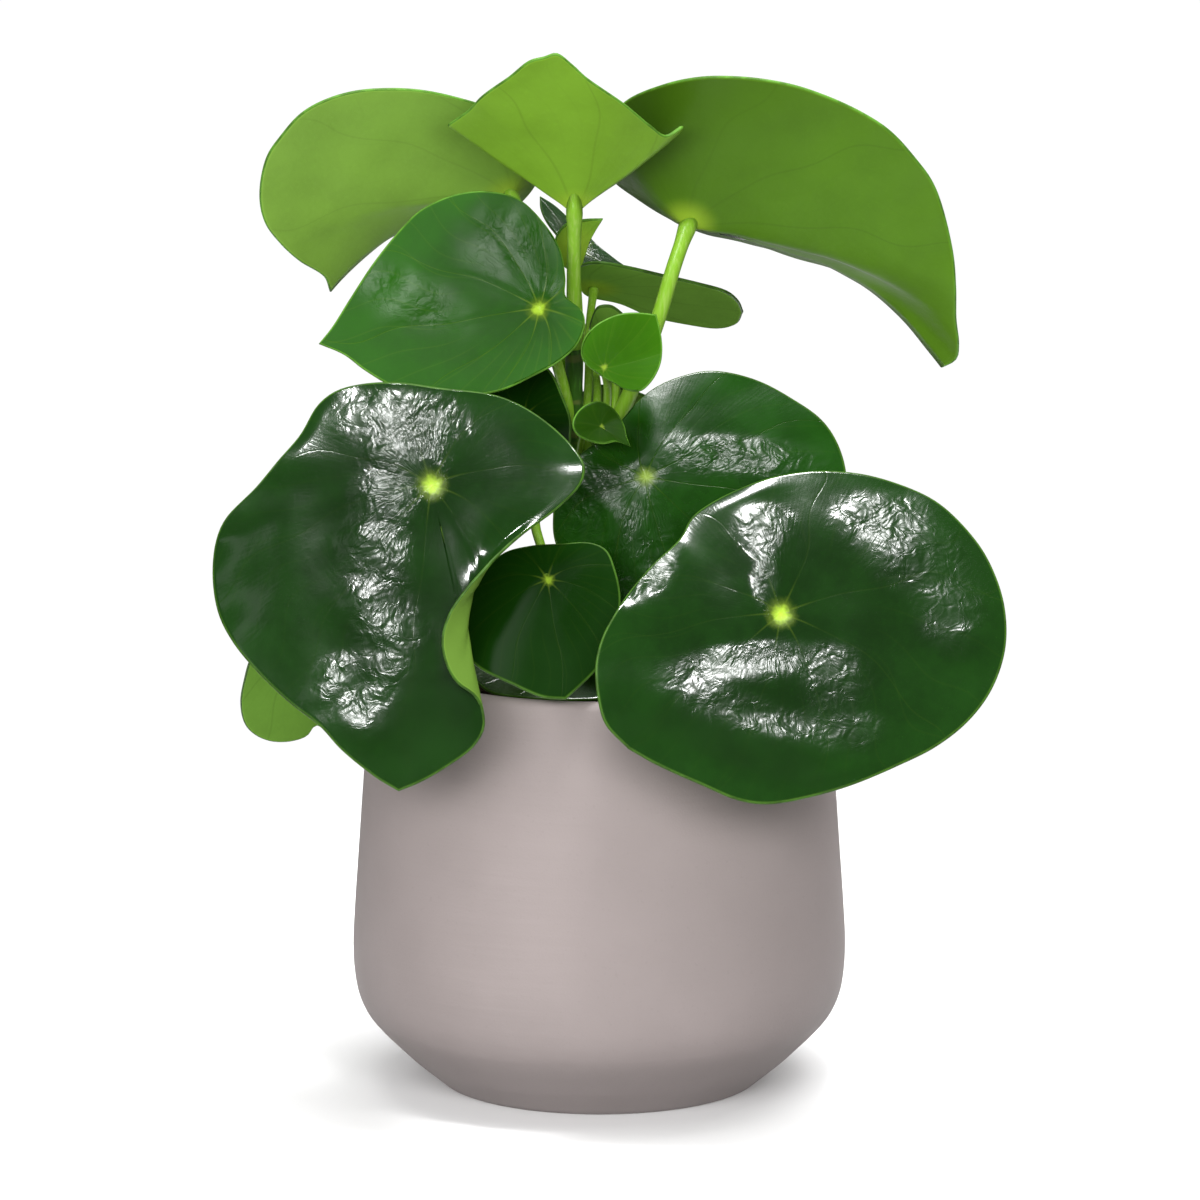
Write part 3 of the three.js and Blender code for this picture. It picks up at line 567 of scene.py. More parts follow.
def juicy_stalk(settings):
    """A petiole: pale green, with fine lines along it, a soft shine and a shaded foot."""
    paint = new_paint("petiole_green")
    place = paint.place()
    green = settings.stalk
    lines = paint.noise(paint.stretch(place, 1, 1, 0.03), scale=1500, detail=2)
    patches = paint.noise(place, scale=60, detail=2)
    height = paint.parts(place)[2]
    shade = 1 - paint.step(height, *SHADED_STALKS)
    body = paint.layers(
        green, (paint.step(lines, 0.45, 0.7) * 0.55, settings.stalk_light),
        (paint.step(patches, 0.45, 0.7) * 0.25, scaled(green, 0.7)),
        (shade * 0.7, scaled(green, 0.38)),
    )
    normal = paint.bump(lines, 0.00006, 0.6)
    return paint.finish(base_color=body, roughness=0.36, specular_ior_level=0.4, normal=normal)


def old_stem(settings):
    """The trunk: dark green, ringed with pale leaf scars."""
    paint = new_paint("trunk_green")
    place = paint.place()
    green = settings.trunk
    streaks = paint.noise(paint.stretch(place, 1, 1, 0.12), scale=900, detail=4)
    scars = paint.noise(paint.stretch(place, 0.25, 0.25, 1), scale=240, detail=2)
    body = paint.layers(
        green, (paint.step(streaks, 0.5, 0.72) * 0.6, scaled(green, 3.0)),
        (paint.step(scars, 0.60, 0.68) * 0.7, settings.scar),
    )
    normal = paint.bump(scars + streaks * 0.4, 0.0004, 0.8)
    return paint.finish(base_color=body, roughness=0.42, specular_ior_level=0.5, normal=normal)


FLOOR_FADE = 0.20, 0.42  # how far from the pot the floor starts and ends fading, in metres


def studio_white(settings):
    """A floor that fades out into the white room."""
    paint = new_paint("studio_floor")
    place = paint.place()
    grain = paint.noise(place, scale=18)
    tone = paint.blend(grain, settings.floor, scaled(settings.floor, 0.99))
    away = paint.wire("ShaderNodeVectorMath", {"operation": "LENGTH"}, {0: place}, 1)
    fade = 1 - paint.step(away, *FLOOR_FADE)
    return paint.finish(base_color=tone, roughness=0.9, specular_ior_level=0.1, alpha=fade)


def white_room(settings):
    """The room: one strength as light, one as gloss mirrors it and one as the camera sees it."""
    paint = Paint(bpy.data.worlds.new("white_room"))
    white = (1, 1, 1, 1)
    diffuse, mirrored, seen = (
        paint.wire("ShaderNodeBackground", (), {"Strength": power, "Color": white})
        for power in (settings.sky, settings.mirrored, settings.seen)
    )
    ray = paint.add("ShaderNodeLightPath")
    room = diffuse
    for kind, other in (("Is Glossy Ray", mirrored), ("Is Camera Ray", seen)):
        share = Wire(paint, ray.outputs[kind])
        room = paint.wire("ShaderNodeMixShader", (), {0: share, 1: room, 2: other})
    paint.add("ShaderNodeOutputWorld", (), {"Surface": room})
    return paint.owner


# ---- Leaf finishes --------------------------------------------------------------------------

MAIN_VEINS = 9
VEIN_SWEEP = 0.42  # how far a vein bends towards the tip on its way out, radians
VEIN_SWAY = 0.05
SWAY_WAVES = 210, 3  # of a vein's sway: per metre out from the hub, and round it
BRANCHES = 3  # side veins to a main one
BRANCH_SPACING = 0.333
BRANCH_WAVES, BRANCH_SWAY = 160, 0.25
LINE_CORE = 0.2  # share of a line's width where it is strongest
# Widths of lines, and where forms start and end, in metres.
VEIN_WIDTH, WIDER_AT_HUB, BRANCH_WIDTH, UNDER_VEIN_WIDTH = 0.00026, 0.00016, 0.0004, 0.0006
UPPER_EDGE, UNDER_EDGE = (0.0001, 0.0007), (0.0001, 0.0009)
UNDER_HUB = 0.002, 0.010
UNDER_PAINTED_SHADOW = -0.045, 0.035  # where the painted shadow behind an underside's hub fades out, along the tip's direction from the hub
HUB_RAGGED, HUB_CLOUDED, HUB_RAYED = 0.0022, 0.003, 0.0003  # how uneven the pale spot is


def vein_turn(angle, share, reach, sine):
    """Which vein a place lies on: whole numbers lie on a vein and halves midway between two.
    It works alike on arrays and on wires, given the sine that suits them."""
    swept = angle + sine(angle) * share * VEIN_SWEEP
    swayed = swept + sine(reach * SWAY_WAVES[0] + angle * SWAY_WAVES[1]) * share * VEIN_SWAY
    return swayed * (MAIN_VEINS / math.tau)


class BladePaint(Paint):
    """A finish of a blade, with places on it and the distance to its veins."""

    def __init__(self, name):
        super().__init__(bpy.data.materials.new(name))
        self.p, self.q, self.inside = self.parts(self.attribute("blade_place", ATTRIBUTE_VECTOR))
        self.flat = self.vector(self.p, self.q)
        self.reach = self.sum("SQRT", self.p * self.p + self.q * self.q)
        self.share = self.reach / (self.reach + self.inside + 0.00001)
        self.angle = self.sum("ARCTAN2", self.q, self.p)
        turn = vein_turn(self.angle, self.share, self.reach, self.sine)
        self.apart = self.between(turn)
        spacing = self.reach * (math.tau / MAIN_VEINS)
        self.from_vein = self.apart * spacing
        branch = turn * BRANCHES + self.sine(self.reach * BRANCH_WAVES) * BRANCH_SWAY
        self.from_branch = self.between(branch) * spacing * BRANCH_SPACING

    def between(self, turn):
        """How far from the nearest vein, in spacings: 0 on a vein, a half midway."""
        return self.sum("PINGPONG", turn, 0.5)

    def line(self, distance, width):
        """1 along a line, falling to 0 at width from it."""
        return 1 - self.step(distance, width * LINE_CORE, width)


class UpperSide(NamedTuple):
    """How an upper side is finished."""

    green: str  # the setting that gives its colour
    light: float  # its lighter green and its body, as shares of that colour
    hub: float  # radius of the pale spot over the petiole, metres
    roughness: float
    specular: float
    veins: float
    vein_height: float  # metres
    body: float = 1.0
    coat: float = 0
    roughness_in_folds: float = 0  # added where the blade is crumpled, as is the next
    coat_in_folds: float = 0
    veins_near_hub: float = 0
    wrinkle: float = 1.0  # share of the wrinkles' height
    hub_tone: float = 1.0
    margin: str = "pale"


UPPER_SIDES = {
    "deep": UpperSide(
        "deep", light=2.0, hub=0.0026, roughness=0.14, specular=1.0, veins=0.02,
        vein_height=0.00002, coat=0.05, roughness_in_folds=0.17, coat_in_folds=0.05,
        veins_near_hub=0.10, margin="dark",
    ),
    "satin": UpperSide(
        "deep", light=2.9, hub=0.0018, roughness=0.20, specular=0.45, veins=0.03,
        vein_height=0.00020, body=1.5, roughness_in_folds=0.13, coat_in_folds=0.05,
        veins_near_hub=0.05, wrinkle=1.3, hub_tone=0.42, margin="dark",
    ),
    "smooth": UpperSide(
        "deep", light=1.3, hub=0.0011, roughness=0.40, specular=0.05, veins=0.02,
        vein_height=0.00004, roughness_in_folds=-0.06, veins_near_hub=0.15, wrinkle=0.3,
        hub_tone=0.5, margin="dark",
    ),
    "mid": UpperSide(
        "mid", light=1.5, hub=0.0020, roughness=0.50, specular=0.09, veins=0.10,
        vein_height=0.00006, roughness_in_folds=-0.18, coat_in_folds=0.02, veins_near_hub=0.22,
        wrinkle=0.7,
    ),
    "young": UpperSide(
        "young", light=1.35, hub=0.0007, roughness=0.24, specular=0.4, veins=0.05,
        vein_height=0.00002, coat=0.1, veins_near_hub=0.05, wrinkle=0.25, hub_tone=0.5,
    ),
    "bud": UpperSide(
        "young", light=0.55, hub=0.0004, roughness=0.30, specular=0.2, veins=0.02,
        vein_height=0.00001, body=0.4, wrinkle=0.2, hub_tone=0.3,
    ),
}


def glossy_upper(settings, which):
    """The upper side of a blade: glossy, crumpled in places, with a pale hub and fine veins."""
    side = UPPER_SIDES[which]
    paint = BladePaint(f"leaf_{which}_green")
    base = getattr(settings, side.green)
    light = scaled(base, side.light)
    folds = paint.attribute("blade_folds", ATTRIBUTE_NUMBER)
    mottle = paint.noise(paint.flat, scale=70, detail=4, roughness=0.6)
    fine = paint.noise(paint.flat, scale=520, roughness=0.6)
    tone = paint.step(mottle, 0.35, 0.68) * 0.45 + paint.step(paint.share, 0.45, 1.0) * 0.55
    near_hub = 1 - paint.step(paint.reach, side.hub * 1.5, side.hub * 5)
    veins = paint.line(paint.from_vein, VEIN_WIDTH + near_hub * WIDER_AT_HUB)
    branches = paint.line(paint.from_branch, BRANCH_WIDTH) * paint.step(paint.share, 0.35, 0.6)
    ragged = paint.reach + (fine - 0.5) * HUB_RAGGED + (mottle - 0.5) * HUB_CLOUDED
    ragged = ragged + paint.apart * HUB_RAYED
    halo = 1 - paint.step(ragged, side.hub * 0.7, side.hub * 2.2)
    core = 1 - paint.step(ragged, side.hub * 0.45, side.hub * 1.35)
    eye = 1 - paint.step(paint.reach, side.hub * 0.1, side.hub * 0.4)
    edge = 1 - paint.step(paint.inside, *UPPER_EDGE)
    green = paint.layers(
        scaled(base, side.body), (tone, light),
        (paint.step(fine, 0.5, 0.8) * 0.2, scaled(light, 1.15)),
        (veins * (near_hub * side.veins_near_hub + side.veins), scaled(settings.hub, 0.42)),
        (branches * (side.veins * 0.5), scaled(settings.hub, 0.42)),
        (halo * 0.6, scaled(settings.hub, 0.33)),
        (core * 0.8, scaled(settings.hub, side.hub_tone)),
        (eye * 0.4, scaled(settings.hub, side.hub_tone * 1.2)),
        (edge * 0.5, margin_green(settings, side.margin)),
    )
    # The folds are sharp little creases that wander outwards from the hub.
    warp = paint.noise(paint.flat, scale=90, detail=2) * 1.6
    outwards = paint.vector(paint.angle * 8 + warp, paint.reach * 200 + warp * 2)
    fold = paint.noise(outwards, scale=1.15, detail=2, distortion=1.1)
    crease = 1 - paint.sum("ABSOLUTE", (fold - 0.5) * 3.2)
    pucker = paint.noise(paint.flat, scale=150, detail=2, distortion=0.5)
    combed = paint.vector(paint.angle * 55, paint.reach * 120)
    brushed = paint.noise(combed, scale=1, detail=2)
    amount = folds * 0.96 + 0.04
    wrinkle = settings.wrinkle * side.wrinkle
    normal = paint.bump(pucker * amount, wrinkle * 7)
    normal = paint.bump(crease * amount, wrinkle * 0.8, 1.0, normal)
    normal = paint.bump(brushed + fine * 0.5, wrinkle * 0.14, 0.8, normal)
    normal = paint.bump(1 - veins, side.vein_height, 0.6, normal)
    roughness = side.roughness + (mottle - 0.5) * 0.06 + halo * 0.12
    return paint.finish(
        base_color=green, roughness=roughness + folds * side.roughness_in_folds,
        specular_ior_level=side.specular, coat_weight=folds * side.coat_in_folds + side.coat,
        coat_roughness=0.14, normal=normal,
    )


class Underside(NamedTuple):
    """How an underside is finished."""

    green: str  # the setting that gives its colour
    body: float = 1.0  # share of that colour
    veins: float = 0.3
    roughness: float = 0.5
    specular: float = 0.2
    shaded: float = 0  # how dark the painted shadow is behind its hub, away from the tip


UNDERSIDES = {
    "bright": Underside("under", veins=0.22, specular=0.25),
    "fresh": Underside("under_fresh"),
    "olive": Underside("under_olive", body=1.15, roughness=0.42, shaded=0.8),
    "deep": Underside("under", body=0.52, veins=0.2),
    "grey": Underside("under_grey", roughness=0.55, specular=0),
    "low": Underside("under_grey", body=1.25, roughness=0.55, specular=0),
}


def satin_under(settings, which):
    """The underside of a blade: paler, satin, with faint darker veins that meet at the hub, and a
    painted shadow behind the hub where its finish asks for one.
    """
    side = UNDERSIDES[which]
    paint = BladePaint("leaf_underside_" + which)
    body = scaled(getattr(settings, side.green), side.body)
    clouds = paint.noise(paint.flat, scale=42, detail=4, roughness=0.55)
    fine = paint.noise(paint.flat, scale=650)
    # Painted shadow: the underside is darkened behind its hub, away from the tip, by its share.
    behind = 1 - paint.step(paint.p, *UNDER_PAINTED_SHADOW)
    veins = paint.line(paint.from_vein, UNDER_VEIN_WIDTH)
    branches = paint.line(paint.from_branch, UNDER_VEIN_WIDTH)
    branches = branches * paint.step(paint.share, 0.25, 0.5)
    hub = 1 - paint.step(paint.reach, *UNDER_HUB)
    edge = 1 - paint.step(paint.inside, *UNDER_EDGE)
    green = paint.layers(
        body, (paint.step(clouds, 0.30, 0.75), scaled(body, 0.84)),
        (paint.step(fine, 0.5, 0.8) * 0.25, scaled(body, 1.15)),
        (behind * side.shaded, scaled(body, 0.35)),
        (veins * side.veins, scaled(body, 0.55)),
        (branches * (side.veins * 0.3), scaled(body, 0.68)),
        (hub * 0.7, scaled(settings.hub, 0.75)),
        (edge * 0.35, scaled(body, 1.5)),
    )
    cross = paint.noise(paint.vector(paint.angle * 7, paint.reach * 150), scale=1.2)
    normal = paint.bump(paint.noise(paint.flat, scale=150), 0.00022, 0.6)
    normal = paint.bump(cross + fine * 0.6, 0.00012, 0.6, normal)
    return paint.finish(
        base_color=green, roughness=side.roughness + (clouds - 0.5) * 0.1,
        specular_ior_level=side.specular, normal=normal,
    )


MARGINS = {"dark": 1.0, "pale": 2.2}


def margin_green(settings, which):
    return scaled(settings.margin, MARGINS[which])


def blade_margin(settings, which):
    """The thin rounded edge between a blade's two sides."""
    paint = new_paint("leaf_margin_" + which)
    green = margin_green(settings, which)
    patches = paint.step(paint.noise(paint.place(), scale=240), 0.4, 0.65)
    green = paint.blend(patches, green, scaled(green, 0.6))
    return paint.finish(base_color=green, roughness=0.5, specular_ior_level=0.3)


# The upper side, underside and margin of each look.
LOOKS = {
    "deep": ("deep", "deep", "dark"),
    "satin": ("satin", "deep", "dark"),
    "smooth": ("smooth", "deep", "dark"),
    "mid": ("mid", "bright", "pale"),
    "young": ("young", "bright", "pale"),
    "bud": ("bud", "bright", "pale"),
    "fresh": ("mid", "fresh", "pale"),
    "olive": ("deep", "olive", "pale"),
    "grey": ("deep", "grey", "dark"),
    "low": ("deep", "low", "dark"),
}


# ---- Shapes ---------------------------------------------------------------------------------


def unit(vector):
    vector = np.asarray(vector, float)
    return vector / np.linalg.norm(vector)


def from_drawing(x, h, y):
    """A point of the drawing, at depth y, in the part's own frame."""
    return np.array([x, y, (h - y * math.sin(VIEW_TILT)) / math.cos(VIEW_TILT)])


SHORTEST_GAP = 1e-4


def catmull_rom(points, shares, centripetal=True):
    """A smooth curve through points, read at shares of its run, from 0 to 1."""
    points = np.asarray(points, float)
    last = len(points) - 1
    run = np.clip(np.asarray(shares, float) * last, 0, last)
    start = np.minimum(run.astype(int), last - 1)
    local = (run - start)[:, None]
    around = np.vstack([2 * points[0] - points[1], points, 2 * points[-1] - points[-2]])
    before, here, there, after = (around[start + step] for step in range(4))
    if centripetal:
        gaps = []
        for one, other in ((before, here), (here, there), (there, after)):
            gap = np.sqrt(np.linalg.norm(other - one, axis=1, keepdims=True))
            gaps.append(np.maximum(gap, SHORTEST_GAP))
        d0, d1, d2 = gaps
        leave = ((here - before) / d0 - (there - before) / (d0 + d1) + (there - here) / d1) * d1
        arrive = ((there - here) / d1 - (after - here) / (d1 + d2) + (after - there) / d2) * d1
    else:
        leave, arrive = (there - before) / 2, (after - here) / 2
    square = -3 * here + 3 * there - 2 * leave - arrive
    cube = 2 * here - 2 * there + leave + arrive
    return here + leave * local + square * local**2 + cube * local**3


def even_shares(points, count, divisions=400):
    """Shares of a curve's run that stand at even steps along its length."""
    fine = np.linspace(0, 1, divisions + 1)
    steps = np.linalg.norm(np.diff(catmull_rom(points, fine), axis=0), axis=1)
    along = np.concatenate([[0], np.cumsum(steps)])
    return np.interp(np.linspace(0, 1, count) * along[-1], along, fine)


def smooth_line(points, count):
    """Points at even steps along the smooth curve through a few."""
    return catmull_rom(points, even_shares(points, count))


def make_piece(name, points, faces, materials, slot, stands_for=(), finish_of_face=None):
    """A smooth mesh in its place, riding on the plant."""
    mesh = bpy.data.meshes.new(name)
    mesh.from_pydata((np.asarray(points) * MM).tolist(), [], faces)
    for material in materials:
        mesh.materials.append(material)
    if finish_of_face is not None:
        mesh.polygons.foreach_set("material_index", np.asarray(finish_of_face, np.int32))
    mesh.polygons.foreach_set("use_smooth", np.ones(len(mesh.polygons), bool))
    mesh.update()
    piece = bpy.data.objects.new(name, mesh)
    bpy.context.scene.collection.objects.link(piece)
    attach(piece, "root")
    if stands_for:
        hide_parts(*stands_for)
    return piece


def closed_faces(rings, sides):
    """Quads between rings of points that follow each other, and fans that close both ends. The
    middles of the first and the last ring come after all rings."""
    faces = []
    for near in range(0, (rings - 1) * sides, sides):
        far = near + sides
        for side in range(sides):
            beside = (side + 1) % sides
            faces.append((near + side, near + beside, far + beside, far + side))
    first_middle, last = rings * sides, (rings - 1) * sides
    for side in range(sides):
        beside = (side + 1) % sides
        faces.append((first_middle, beside, side))
        faces.append((first_middle + 1, last + side, last + beside))
    return faces


def turned(profile, sides):
    """Points and faces of a body turned about Z from an outline that starts and ends on it."""
    profile = np.asarray(profile, float)
    angles = np.arange(sides) * math.tau / sides
    rows = profile[1:-1]
    x = rows[:, :1] * np.cos(angles)
    y = rows[:, :1] * np.sin(angles)
    z = np.repeat(rows[:, 1:], sides, axis=1)
    points = np.stack([x, y, z], axis=2).reshape(-1, 3)
    points = np.vstack([points, [0, 0, profile[0][1]], [0, 0, profile[-1][1]]])
    return points, closed_faces(len(rows), sides)


FOOT_STEPS, OUTSIDE_STEPS, LIP_STEPS, INSIDE_STEPS, FLOOR_STEPS = 6, 74, 20, 40, 5


def pot_outline():
    """The whole outline, from the middle of the foot over the lip to the middle of the floor."""
    foot = [(0, 0), *np.linspace((FOOT_RING, 0), POT_OUTSIDE[0], FOOT_STEPS)]
    outside = smooth_line(POT_OUTSIDE[1:], OUTSIDE_STEPS)
    lip = smooth_line([POT_OUTSIDE[-1], *POT_LIP, POT_INSIDE[0]], LIP_STEPS)[1:-1]
    inside = smooth_line(POT_INSIDE, INSIDE_STEPS)
    floor = np.linspace((FLOOR_EDGE, POT_FLOOR), (FLOOR_MIDDLE, POT_FLOOR), FLOOR_STEPS)
    return np.vstack([foot, outside, lip, inside, floor, [(0, POT_FLOOR)]])


def waves(x, y, seed, count, lengths, tall):
    """Heights of crossing waves that are higher the longer they are, as high as 1 at tall."""
    dice = np.random.default_rng(seed)
    height = np.zeros_like(x)
    for _ in range(count):
        heading, wave = dice.uniform(0, math.tau), dice.uniform(*lengths)
        phase = dice.uniform(0, math.tau)
        run = (x * math.cos(heading) + y * math.sin(heading)) / wave
        height += wave / tall * np.sin(run * math.tau + phase)
    return height


# ---- Blades ---------------------------------------------------------------------------------

CREASE_WIDTH = math.radians(26)
SMALL_RELIEF = 0.45  # of a small blade, as a share of a large one's
VEIN_HALF_WIDTH = 1.3
# How fast a form fades out towards the margin: over the last third, quarter or twelfth.
CREASE_FADE, VEIN_FADE, SWELL_FADE = 3, 4, 12
# How far from the hub veins, the swelling between them and ripples reach their full height.
VEIN_RUN, PILLOW_RUN, RIPPLE_RUN = 3, 30, 12
DIMPLE, DIMPLE_RADIUS = 0.5, 3  # where the blade is drawn in over its petiole
RIPPLES, RIPPLE_LENGTHS = 7, (14, 34)
LARGE_RIPPLE, SMALL_RIPPLE = 0.085, 0.02
FEWEST_RINGS, FEWEST_SPOKES = 8, 24
EDGE_STEPS = 5
UPPER, UNDER, EDGE = 0, 1, 2  # a blade's materials
SLOTS = {"deep": "mature_leaf", "young": "young_leaf", "pale": "pale_leaf"}


def rim_point(leaf, face, station):
    """A station of the rim, on the flat blade or as far behind it as drawn."""
    x, h, behind = (*station, 0)[:3]
    across = x - leaf.hub[0]
    up = (h - leaf.hub[1]) / math.cos(VIEW_TILT)
    slope = face[1] - face[2] * math.tan(VIEW_TILT)
    depth = leaf.hub[2] - (face[0] * across + face[2] * up) / slope
    return from_drawing(x, h, depth + behind)


def rim_roll(station):
    """How far the margin rolls out past a station of the rim."""
    out_x, out_h = station[3:] or (0, 0)
    return np.array([out_x, 0, out_h / math.cos(VIEW_TILT)])


def blade_grid(leaf, rings, spokes):
    """The blade's middle surface, ring by ring from the hub, and its face at the hub."""
    hub, face = from_drawing(*leaf.hub), unit(leaf.face)
    rim = np.array([rim_point(leaf, face, station) for station in leaf.rim])
    roll = np.array([rim_roll(station) for station in leaf.rim])
    closed_rim, closed_roll = np.vstack([rim, rim[:1]]), np.vstack([roll, roll[:1]])
    shares = even_shares(closed_rim, spokes + 1)[:-1]
    margin, rolled = catmull_rom(closed_rim, shares), catmull_rom(closed_roll, shares, False)
    reach = margin - hub
    rise = (reach @ face)[:, None] * face
    flat = reach - rise
    near = hub + flat / 3 + rise * leaf.lift / 3 + rolled / 3
    far = hub + flat * 2 / 3 + rise * (1 + leaf.lift) / 3 + rolled
    t = (np.arange(rings + 1) / rings)[:, None, None]
    inner = hub * (1 - t) ** 3 + 3 * near * t * (1 - t) ** 2
    return inner + 3 * far * t**2 * (1 - t) + margin * t**3, flat, face


def eased(grid, face):
    """The same blade, the creases that run out from its hub smoothed except near its margin."""
    rings, spokes = grid.shape[:2]
    off = (grid - grid[0, 0]) @ face
    turn = np.minimum(np.arange(spokes), spokes - np.arange(spokes)) * math.tau / spokes
    weights = np.exp(-((turn / CREASE_WIDTH) ** 2))
    weights /= weights.sum()
    smooth = np.fft.ifft(np.fft.fft(off, axis=1) * np.fft.fft(weights), axis=1).real
    inner = np.clip((1 - np.arange(rings) / (rings - 1)) * CREASE_FADE, 0, 1)[:, None]
    return grid + ((smooth - off) * inner)[..., None] * face


def blade_places(grid, flat, face):
    """Along the tip's direction, across it, and in from the margin, on the blade laid flat."""
    along = unit(flat[0])
    across = np.cross(face, along)
    angle = np.arctan2(flat @ across, flat @ along)
    steps = np.linalg.norm(np.diff(grid, axis=0), axis=2)
    reach = np.vstack([np.zeros(grid.shape[1]), np.cumsum(steps, axis=0)])
    return reach * np.cos(angle), reach * np.sin(angle), reach[-1] - reach, angle


def grid_normals(grid, face):
    """The grid's normals, on the side that the blade's face looks to."""
    outward = np.gradient(grid, axis=0)
    round_about = np.roll(grid, -1, axis=1) - np.roll(grid, 1, axis=1)
    normals = np.cross(round_about, outward)
    normals /= np.maximum(np.linalg.norm(normals, axis=2, keepdims=True), 1e-9)
    if (normals[1] @ face).mean() <= 0:
        normals = -normals
    normals[0] = face
    return normals


def patch_distance(grid, x, h, half_width, half_length, lean):
    """How far points are from a patch's middle, squared: 1 on its outline."""
    drawn_h = grid[..., 2] * math.cos(VIEW_TILT) + grid[..., 1] * math.sin(VIEW_TILT)
    right, up, lean = grid[..., 0] - x, drawn_h - h, math.radians(lean)
    across = (right * math.cos(lean) - up * math.sin(lean)) / half_width
    along = (right * math.sin(lean) + up * math.cos(lean)) / half_length
    return across**2 + along**2


def crumpled(name, grid):
    """1 where the blade is crumpled in fine folds, 0 where it is smooth."""
    smooth = np.ones(grid.shape[:2])
    for patch in CRUMPLES.get(name, ()):
        smooth *= 1 - np.exp(-patch_distance(grid, *patch) ** 2)
    return 1 - smooth


def relief(name, grid, p, q, inside, angle, settings):
    """How far the blade stands off its smooth surface, towards its upper side."""
    large = LEAVES[name].large
    size = 1 if large else SMALL_RELIEF
    reach = np.hypot(p, q)
    share = reach / np.maximum(reach + inside, 1e-6)
    turn = vein_turn(np.broadcast_to(angle, reach.shape), share, reach * MM, np.sin)
    apart = np.abs(turn - np.round(turn))
    from_vein = apart * reach * math.tau / MAIN_VEINS
    fade = np.clip((1 - share) * VEIN_FADE, 0, 1) * np.clip(reach / VEIN_RUN, 0, 1)
    quilting = size * QUILTING.get(name, USUAL_QUILTING)
    groove = np.exp(-((from_vein / VEIN_HALF_WIDTH) ** 2)) * fade
    swell = np.minimum(reach / PILLOW_RUN, 1) * (0.5 - 0.5 * np.cos(apart * math.tau)) * fade
    off = quilting / MM * (settings.pillow * swell - settings.vein_depth * groove)
    off -= DIMPLE * size * np.exp(-((reach / DIMPLE_RADIUS) ** 2))
    ripple = waves(p, q, sum(name.encode()), RIPPLES, RIPPLE_LENGTHS, RIPPLE_LENGTHS[1])
    off += ripple * (LARGE_RIPPLE if large else SMALL_RIPPLE) * np.clip(reach / RIPPLE_RUN, 0, 1)
    swells = np.zeros_like(reach)
    for *patch, height in SWELLS.get(name, ()):
        swells += height * np.exp(-patch_distance(grid, *patch))
    return off + swells * np.clip((1 - share) * SWELL_FADE, 0, 1)


def add_attribute(piece, name, kind, field, values):
    """Gives each point of a piece a value for its materials to read."""
    attribute = piece.data.attributes.new(name, kind, "POINT")
    attribute.data.foreach_set(field, values.astype(np.float32).ravel())


def make_blade(name, materials, settings):
    """A blade with an upper side, an underside and a rounded margin between them."""
    leaf = LEAVES[name]
    rings, spokes = settings.rings, settings.spokes
    if not leaf.large:
        rings, spokes = max(FEWEST_RINGS, rings // 2), max(FEWEST_SPOKES, spokes // 2)
    grid, flat, face = blade_grid(leaf, rings, spokes)
    if leaf.large:
        grid = eased(grid, face)
    p, q, inside, angle = blade_places(grid, flat, face)
    folds = crumpled(name, grid)
    off = relief(name, grid, p, q, inside, angle, settings)
    grid = grid + grid_normals(grid, face) * off[..., None]
    normals = grid_normals(grid, face)
    half = settings.thickness / MM / 2
    outward = grid[-1] - grid[-2]
    outward -= (outward * normals[-1]).sum(axis=1, keepdims=True) * normals[-1]
    outward /= np.linalg.norm(outward, axis=1, keepdims=True)
    centre = grid[-1] - outward * half
    bends = [math.pi * step / EDGE_STEPS for step in range(EDGE_STEPS + 1)]
    rows = [grid[ring] + normals[ring] * half for ring in range(1, rings)]
    for bend in bends:
        rows.append(centre + (normals[-1] * math.cos(bend) + outward * math.sin(bend)) * half)
    rows += [grid[ring] - normals[ring] * half for ring in range(rings - 1, 0, -1)]
    order = [*range(1, rings), *[rings] * len(bends), *range(rings - 1, 0, -1)]
    top, bottom = grid[0, 0] + face * half, grid[0, 0] - face * half
    points = np.vstack([np.concatenate(rows), top, bottom])
    faces = closed_faces(len(rows), spokes)
    quads = [UPPER] * (rings - 1) + [EDGE] * EDGE_STEPS + [UNDER] * (rings - 1)
    finish = np.concatenate([np.repeat(quads, spokes), np.tile([UPPER, UNDER], spokes)])
    one, other = rows[0][0] - top, rows[0][1] - top
    if np.cross(other, one) @ face < 0:
        faces = [tuple(reversed(corners)) for corners in faces]
    slot = SLOTS[leaf.kind]
    piece = make_piece(name + "_blade", points, faces, materials, slot, (name,), finish)
    places = np.stack([p, q, inside], axis=2)
    places = np.vstack([places[order].reshape(-1, 3), places[0, 0], places[0, 0]])
    add_attribute(piece, "blade_place", "FLOAT_VECTOR", "vector", places * MM)
    folds = np.concatenate([folds[order].ravel(), folds[0, :1], folds[0, :1]])
    add_attribute(piece, "blade_folds", "FLOAT", "value", folds)


# ---- Stalks ---------------------------------------------------------------------------------

HUB_GAP = 0.55  # from a petiole's end to the middle of its blade
FLARE, FLARE_RUN = 0.26, 4  # at a petiole's upper end: share of its radius, and how far down
FOOT_TAPER, FOOT_SWELLING, FOOT_RUN = 0.15, 0.12, 12
STALK_STEPS = 12  # to each stretch between two drawn points
TRUNK_STEPS, TRUNK_TAPER = 90, 0.2
EXTRA_SIDES = 8  # of the trunk, over a petiole's
LEAF_SCARS, SCAR_HEIGHT, SCAR_WIDTH = 9, 0.07, 0.22
SCAR_SWAY, SWAY_RUN = 0.4, 11  # how unevenly the scars follow each other


